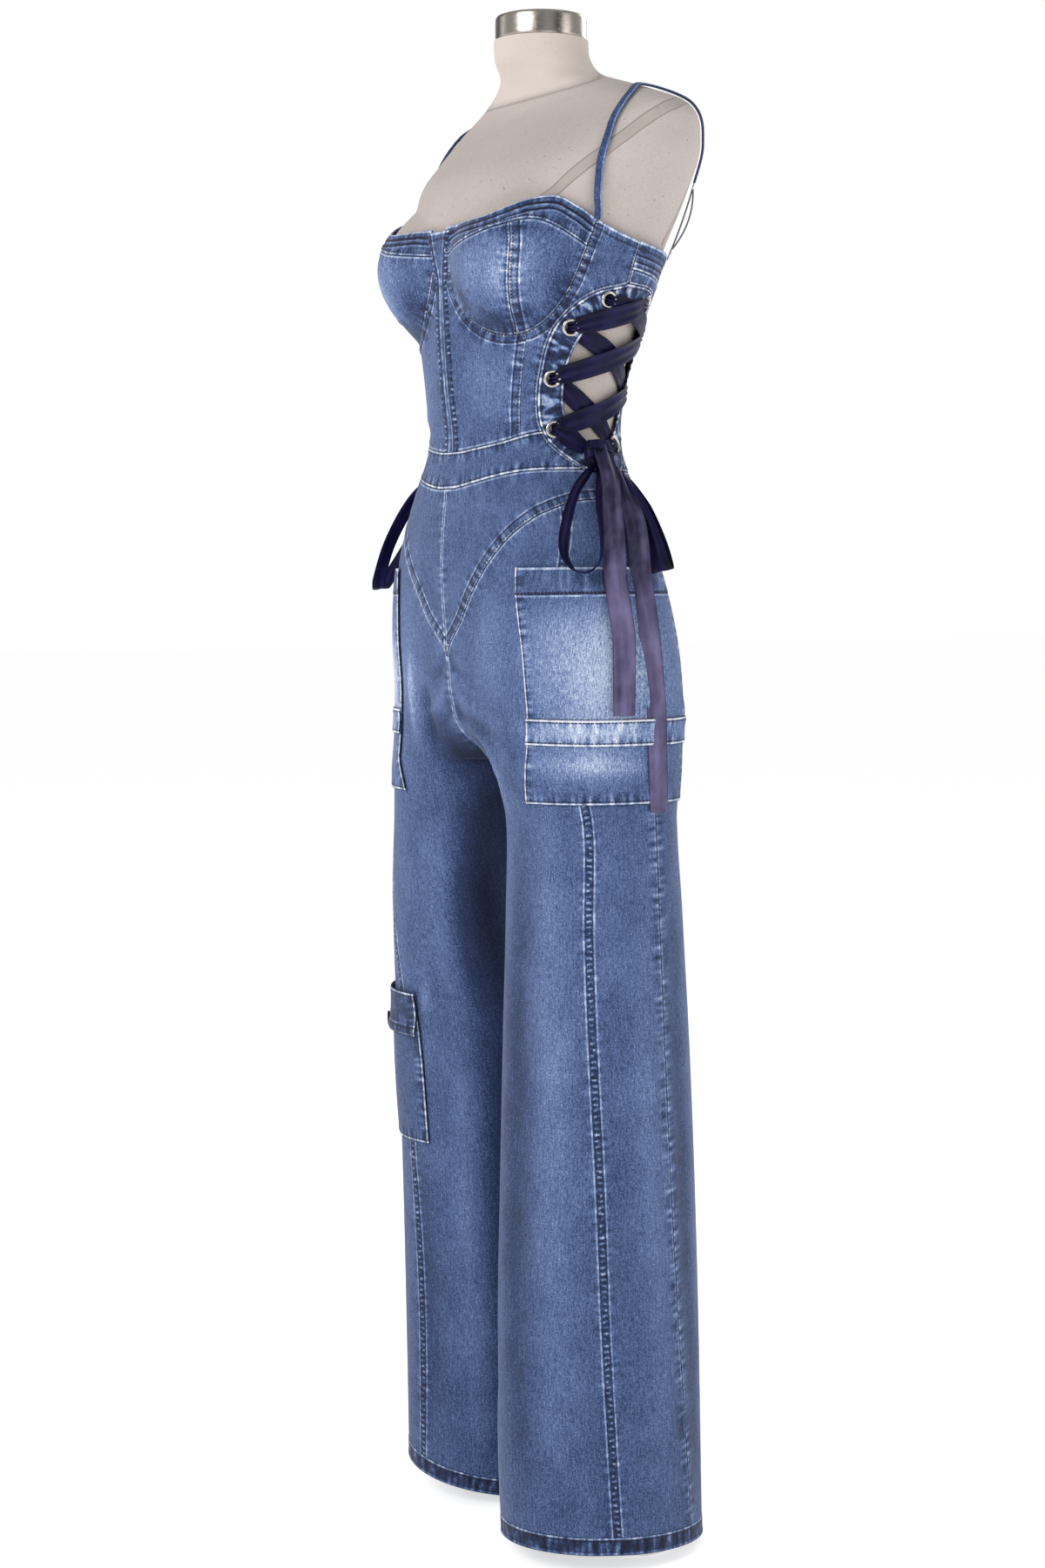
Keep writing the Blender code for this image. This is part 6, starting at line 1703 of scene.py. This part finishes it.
@dataclass(frozen=True)
class Ribbons:
    """The lacing through the eyelets, the knots with two loops each, and the free tails."""

    wide: float = 0.019
    thick: float = 0.0006
    over: float = WALL + 0.0016
    under: float = -0.0017
    hang: float = 0.862
    lacing_satin: Satin = Satin(linear(4, 4, 14), linear(33, 28, 84))
    tail_satin: Satin = Satin(linear(40, 36, 64), linear(126, 118, 158), 0.55)
    short: tuple = ((89.5, 1.036, 0.0146), (88.6, 1.018, 0.0166), (87.6, 0.997, 0.0182), (84.8, 0.965, 0.0176),
                    (81.2, 0.917, 0.0145), (81.6, 0.886, 0.012), (82.6, 0.85, 0.0108), (83.0, 0.79, 0.0105))
    long: tuple = ((94.5, 1.008, 0.0132), (95.0, 0.985, 0.0136), (94.8, 0.96, 0.013), (91.6, 0.917, 0.0094),
                   (91.2, 0.87, 0.008), (93.0, 0.83, 0.008), (95.5, 0.79, 0.0084), (97.5, 0.7, 0.009))
    narrow_left: tuple = ((87.0, 1.016), (80.0, 1.006), (71.0, 0.988), (63.5, 0.958), (60.5, 0.936), (63.0, 0.921),
                          (69.0, 0.917), (75.5, 0.927), (78.5, 0.95), (81.5, 0.985), (87.5, 1.012))
    narrow_right: tuple = ((87.0, 1.017), (78.0, 1.006), (66.0, 0.985), (56.0, 0.95), (50.0, 0.92),
                           (50.0, 0.904),
                           (57.0, 0.905), (68.0, 0.925), (76.0, 0.952), (81.5, 0.985), (87.5, 1.012))
    wide_loop: tuple = ((91.5, 1.024, 0.006), (95.0, 1.004, 0.0064), (98.0, 0.975, 0.0056), (99.5, 0.945, 0.0044),
                        (100.0, 0.925, 0.0036), (101.5, 0.918, 0.0034), (103.5, 0.925, 0.0034),
                        (104.0, 0.947, 0.0034),
                        (102.5, 0.975, 0.0034), (99.0, 1.002, 0.0034), (93.0, 1.018, 0.004))
    wide_lean: float = 1.02

    def strip(self, path: Array, across: Array, out: Array, widths: Array, side: int,
              gather: Array | float = 0.0, pleats: float = 2.0, columns: int = 17) -> Shell:
        """Carry a flat ribbon along a path.

        Args:
            path, across, out: the route and its frame, on the left.
            widths: width at each point of the route.
            side: LEFT or RIGHT.
            gather: height of the pleats at each point.
            pleats: how many pleats lie across the width.
            columns: points across.

        Returns:
            The ribbon: a straight section whose height is the gather times a cosine across it.
        """
        s = np.linspace(-1.0, 1.0, columns)
        gather = np.broadcast_to(np.asarray(gather, float), (len(path),))[:, None, None]
        wave = gather * (np.cos(np.pi * pleats * s[None, :, None] + 0.6) - 0.3)
        half = s[None, :, None] * np.asarray(widths)[:, None, None] / 2.0
        grid = path[:, None] + across[:, None] * half + out[:, None] * wave
        if side == RIGHT:
            grid = grid[:, ::-1] * [-1.0, 1.0, 1.0]
        n, (run, up) = normals(grid) * self.thick / 2.0, lengths(grid)
        values = {"from_left": self.wide / 2.0 * (1.0 - abs(s))[None, :] + 0.0 * run}
        return shell(grid + n, grid - n, np.stack([run, up], -1), values)

    def hung(self, rows: Sequence, count: int) -> Frame:
        """Path over the hips that hangs straight below their widest part, with its frame."""
        line = spread(rows, count)
        hanging = line[:, 1] < self.hang
        flat = np.column_stack([line[:, 0], np.maximum(line[:, 1], self.hang) + np.linspace(1e-6, 0.0, count)])
        point, _, out = BODY.frame_at(flat, 0.0)
        out[hanging, 2] = 0.0
        out = direction(out)
        point = point + out * line[:, 2:]
        point[hanging, 2] = line[hanging, 1]
        return point, direction(np.column_stack([out[:, 1], -out[:, 0], 0.0 * out[:, 0]])), out

    def tails(self) -> None:
        satin, t = self.tail_satin.material(), np.linspace(0.0, 1.0, 110)
        for side in (LEFT, RIGHT):
            for label, rows, size, phase, lean in (("tail_short", self.short, 0.0215, 0.4, -0.1),
                                                   ("tail_long", self.long, 0.02, 2.1, -0.42)):
                path, across, out = self.hung(rows, 110)
                path = path + out * (0.0016 * np.sin(9.0 * t + phase) * ease(t, 0.2, 0.5))[:, None]
                twist = ((lean + 0.2 * np.sin(6.0 * t + phase)) * ease(t, 0.05, 0.3))[:, None]
                turned = across * np.cos(twist) + out * np.sin(twist)
                face = direction(np.cross(turned, np.gradient(path, axis=0)))
                widths = size * np.interp(t, (0.0, 0.12, 1.0), (0.85, 1.0, 1.0))
                gather = 0.0015 * (1.0 - ease(t, 0.0, 0.45)) + 0.0005
                name = f"{label}_{SIDE_NAME[side]}"
                ribbon = self.strip(path, turned, face, widths, side, gather, 1.5)
                piece = add_piece(f"{name}_ribbon", [ribbon], satin, name, 60.0)
                line = path * [side, 1.0, 1.0] + SHIFT
                [tuple(p) for p in line[::3]] + [tuple(line[-1])]

    def run(self, start: Sequence[float], stop: Sequence[float], ends: tuple[str, str],
            middle: Sequence[float]) -> tuple:
        """One run of the lacing between two eyelets, over or under the facing at each end."""
        start, stop = np.array(start), np.array(stop)
        length = float(np.linalg.norm((stop - start) * [ARC, 1.0]))
        over, under, narrow = self.over, self.under, self.wide - 0.002
        # distance from the eyelet, height over the surface and width
        shape = {"over": ((-0.002, -0.0012, 0.0076), (0.001, 0.0004, 0.008), (0.0042, over + 0.001, 0.0096),
                          (0.008, over + 0.0009, 0.0128), (0.014, over, narrow)),
                 "under": ((-0.002, under, 0.008), (0.003, under, 0.0085), (0.008, under, 0.013),
                           (0.016, under, narrow)),
                 "free": ((0.0, over, 0.012), (0.004, over, 0.014))}
        first, last = shape[ends[0]], shape[ends[1]]
        inner = np.linspace(first[-1][0] / length, 1.0 - last[-1][0] / length, len(middle) + 2)[1:-1]
        table = np.array([(p / length, lift, w) for p, lift, w in first]
                         + [(p, lift, self.wide) for p, lift in zip(inner, middle)]
                         + [(1.0 - p / length, lift, w) for p, lift, w in last[::-1]])
        steps = np.linspace(table[0, 0], table[-1, 0], 64)
        read = np.column_stack([np.interp(steps, table[:, 0], table[:, i]) for i in (1, 2)])
        for _ in range(3):
            read[1:-1] = np.column_stack([np.convolve(read[:, i], (0.25, 0.5, 0.25), "valid") for i in range(2)])
        return (*BODY.frame_at(start + (stop - start) * steps[:, None], read[:, 0]), read[:, 1])

    def lacing(self) -> None:
        """Lace one ribbon on each side through all eight eyelets."""
        f, b = PATTERN.front_eyelets, PATTERN.back_eyelets
        over, under, high = self.over, self.under, self.over + 0.0017
        above, below = ("over", "over"), ("under", "under")
        runs = [(f[0], b[1], above, [over] * 3), (f[1], b[2], above, [over] * 4), (f[2], b[3], above, [high] * 3),
                (f[1], b[0], below, [under] * 3), (f[2], b[1], below, [under] * 3),
                (f[3], b[2], above, [over + 0.0003] * 3), (f[3], b[3], below, [under] * 2),
                (f[0], (83.1, 1.034), ("over", "free"), [over]), (b[0], (97.1, 1.0305), ("over", "free"), [])]
        satin = self.lacing_satin.material()
        for side in (LEFT, RIGHT):
            strips = []
            for index, (start, stop, ends, middle) in enumerate(runs):
                path, across, out, widths = self.run(start, stop, ends, middle)
                gather = 0.0016 * np.clip(1.0 - widths / (self.wide - 0.003), 0.0, 1.0) + 0.00035
                path = path + out * self.thick / 2.0
                strips.append(self.strip(path, across, out, widths, side, gather, 2.0 + 0.3 * (index % 3)))
            name = f"lacing_{SIDE_NAME[side]}"
            add_piece(f"{name}_ribbon", strips, satin, name, 60.0)

    def bows(self) -> None:
        """Tie the knots: a gathered bundle wrapped once, a narrow loop on its edge and a wide loop with pleats."""
        satin, t = self.lacing_satin.material(), np.linspace(0.0, 1.0, 90)
        path, across, out = self.hung(self.wide_loop, 90)
        widths = self.wide * np.interp(t, (0.0, 0.2, 0.5, 0.8, 1.0), (0.6, 1.0, 1.2, 1.0, 0.6))
        lean = self.wide_lean * ease(np.minimum(t, 1.0 - t), -0.05, 0.25)
        standing = out * np.sin(lean)[:, None] + across * np.cos(lean)[:, None] * np.sign(across[:, 1:2])
        path = path + standing * (widths / 2.0 * np.sin(lean))[:, None]
        face = direction(np.cross(standing, np.gradient(path, axis=0)))
        wide_gather = 0.0017 * (1.0 - ease(t, 0.0, 0.42) + ease(t, 0.58, 1.0)) + 0.0002
        narrow_gather = 0.001 * (1.0 - np.sin(np.pi * t)) + 0.0002
        breadth = np.interp(t, (0.0, 0.12, 0.5, 0.88, 1.0), (0.009, 0.012, 0.014, 0.014, 0.011))
        tilt = (0.45 * np.sin(2.0 * np.pi * t) + 0.35)[:, None]
        for side, rows, reach in ((LEFT, self.narrow_left, (0.004, 0.007, 0.005)),
                                  (RIGHT, self.narrow_right, (0.004, 0.013, 0.0045))):
            wide = self.strip(path, standing, face, widths, side, wide_gather, 1.7, 25)
            route, sideways, up = BODY.frame_at(spread(rows, 90), np.interp(t, (0.0, 0.45, 1.0), reach))
            turned = up * np.cos(tilt) + sideways * np.sin(tilt)
            normal = direction(np.cross(turned, np.gradient(route, axis=0)))
            route = route + up * breadth[:, None] / 2
            narrow = self.strip(route, turned, normal, breadth, side, narrow_gather, 1.6)
            name = f"bow_{SIDE_NAME[side]}"
            shells = [self.knot(side), self.wrap(side), wide, narrow]
            add_piece(f"{name}_ribbon", shells, satin, name, 60.0)

    def bundle(self, x: Array, y: Array, z: Array, side: int, loop: bool) -> Shell:
        """Close a grid that is given across, out from and up the knot's level frame.

        Args:
            x, y, z: the three distances, sections by points round each.
            side: LEFT or RIGHT.
            loop: whether the last section joins the first.

        Returns:
            The wall, all of it away from the ribbon's woven edge.
        """
        base, _, out = BODY.frame_at([[88.3, height] for height in (1.025, 1.026, 1.027)], WALL + 0.0006)
        across = direction(np.cross(out[1], [0.0, 0.0, 1.0]))
        outward = np.cross([0.0, 0.0, 1.0], across)
        outward = outward * np.sign(np.dot(outward, out[1]))
        grid = base[1] + x[..., None] * across + y[..., None] * outward + z[..., None] * [0.0, 0.0, 1.0]
        tube = closed_tube(grid * [side, 1.0, 1.0], (side == RIGHT) == loop, loop)
        return Shell(tube.points, tube.faces, tube.uv, {"from_left": np.full(len(tube.points), 0.005)})

    def knot(self, side: int) -> Shell:
        """The bundle: ovals up the knot, swollen in the middle, with pleats as a wave round each."""
        v, turn = np.linspace(-1.0, 1.0, 34)[:, None], circle(72)[None, :]
        swell = (0.56 + 0.44 * np.clip(1.0 - v**2, 0.0, 1.0)**0.5) * np.where(abs(v) > 0.999, 0.05, 1.0)
        pleat = 1.0 + 0.07 * np.cos(7.0 * turn + 3.0 * v) * (0.4 + 0.6 * abs(v))
        x, y = squared(turn, 0.75, 0.75)
        y = (y * 0.5 * pleat + 0.52) * 0.0125 * (0.5 + 0.5 * swell)
        return self.bundle(x * 0.0128 * swell * pleat, y, v * 0.0155 + 0.0 * y, side, False)

    def wrap(self, side: int) -> Shell:
        """The wrap: one turn of gathered ribbon round the knot's middle, leaning a little."""
        turn, roll = circle(90)[:, None], circle(18)[None, :]
        band = squared(roll, 0.6, 1.0)[0] * 0.0058
        proud = 0.0009 * np.sin(roll) + 0.0007 * np.cos(4.0 * np.pi * band / 0.0058 + 1.5 * np.sin(turn))
        x, y = squared(turn, 0.75, 0.75)
        y = (y * 0.5 + 0.53) * 0.0128 + proud * np.sin(turn)
        return self.bundle(x * (0.0133 + proud), y, band + 0.0022 * np.cos(turn) + 0.001, side, True)


# ---------------------------------------------------------------- studio

@dataclass(frozen=True)
class Studio:
    """Pale floor, soft light all round and the camera."""

    lens: float = 61.16
    azimuth: float = 57.0
    distance: float = 2.57
    height: float = 0.913
    pitch: float = -4.38
    dome: float = 0.4

    def camera(self) -> None:
        """Place the camera: on a circle round the object, looking in and a little down."""
        a, p = math.radians(self.azimuth), math.radians(self.pitch)
        data = bpy.data.cameras.new("camera")
        data.lens, data.sensor_width, data.shift_x = self.lens, 36.0, -5.0 / 1800.0
        data.clip_start, data.clip_end = 0.05, 60.0
        camera = bpy.data.objects.new("camera", data)
        bpy.context.collection.objects.link(camera)
        spot = np.array([math.sin(a) * self.distance, -math.cos(a) * self.distance, self.height])
        camera.location = spot + SHIFT
        camera.rotation_euler = (math.pi / 2.0 + p, 0.0, a)
        bpy.context.scene.camera = camera

    def light(self, name: str, azimuth: float, elevation: float, away: float, size: float, power: float) -> None:
        """Hang one soft square light that faces the middle of the object."""
        a, e = math.radians(azimuth), math.radians(elevation)
        data = bpy.data.lights.new(name, "AREA")
        data.size, data.energy = size, power
        lamp = bpy.data.objects.new(name, data)
        bpy.context.collection.objects.link(lamp)
        lamp.location = (math.sin(a) * math.cos(e) * away, -math.cos(a) * math.cos(e) * away,
                         0.8 + math.sin(e) * away)
        lamp.rotation_euler = (math.pi / 2.0 - e, 0.0, a)

    def card(self, name: str, azimuth: float, wide: float) -> None:
        """Stand a black card that shows in polished metal and satin only."""
        a = math.radians(azimuth)
        middle = np.array([math.sin(a), -math.cos(a), 0.0]) * 3.0
        across = np.array([math.cos(a), math.sin(a), 0.0]) * wide / 2.0
        corners = [tuple(middle + across * x + [0.0, 0.0, z])
                   for x, z in ((-1, 0.3), (1, 0.3), (1, 3.2), (-1, 3.2))]
        card = self.stand(name, corners, "black_card", Base_Color=(0.01, 0.01, 0.01), Roughness=1.0)
        card.visible_camera = card.visible_diffuse = card.visible_shadow = False

    def stand(self, name: str, corners: list, finish: str, **values: object) -> bpy.types.Object:
        """Add one plain face to the stage, with its own finish that has no highlights."""
        mesh = bpy.data.meshes.new(name)
        mesh.from_pydata(corners, [], [(0, 1, 2, 3)])
        face = bpy.data.objects.new(name, mesh)
        bpy.context.collection.objects.link(face)
        tree = Tree(finish)
        tree.set(**values, Specular_IOR_Level=0.0)
        mesh.materials.append(tree.material)
        return face

    def build(self) -> None:
        """Lay the floor, set the world's light and hang the lamps."""
        self.stand("floor", [(-30, -30, 0), (30, -30, 0), (30, 30, 0), (-30, 30, 0)], "pale_floor",
                   Base_Color=(0.92, 0.92, 0.92), Roughness=0.9, Emission_Color=(1.0, 1.0, 1.0),
                   Emission_Strength=0.62)
        world = bpy.data.worlds.new("studio")
        world.use_nodes = True
        world.node_tree.nodes["Background"].inputs["Color"].default_value = (1.0, 1.0, 1.0, 1.0)
        nodes, links = world.node_tree.nodes, world.node_tree.links
        seen = nodes.new("ShaderNodeMapRange")
        seen.inputs["To Min"].default_value, seen.inputs["To Max"].default_value = self.dome, 1.02
        links.new(nodes.new("ShaderNodeLightPath").outputs["Is Camera Ray"], seen.inputs["Value"])
        links.new(seen.outputs["Result"], nodes["Background"].inputs["Strength"])
        bpy.context.scene.world = world
        for lamp in (("key", 15.0, 30.0, 3.6, 1.6, 50.0), ("fill", 115.0, 15.0, 3.8, 2.0, 26.0),
                     ("back_left", 200.0, 25.0, 3.8, 1.8, 26.0), ("back_right", 290.0, 20.0, 3.8, 1.8, 24.0)):
            self.light(*lamp)
        for card in (("dark_card_right", 104.0, 1.3), ("dark_card_left", -78.0, 2.0),
                     ("dark_card_middle", 52.0, 0.5)):
            self.card(*card)
        view = bpy.context.scene.view_settings
        view.view_transform, view.look, view.exposure, view.gamma = "Standard", "None", 0.0, 1.0


def main() -> None:
    """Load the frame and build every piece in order."""
    logging.basicConfig(level=logging.INFO, format="%(message)s")
    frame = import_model()
    studio = Studio()
    studio.camera()
    ribbons = Ribbons()
    ribbons.tails()
    ribbons.bows()
    ribbons.lacing()
    studio.build()
    DressForm().build(frame["nodes"])
    bodice = Bodice()
    bodice.cups()
    bodice.bands()
    bodice.panels()
    bodice.waistband()
    LacedSide().facings()
    trousers = Trousers()
    trousers.legs()
    trousers.hip_pockets()
    trousers.flap_pocket()
    Straps().build()


if __name__ == "__main__":
    main()
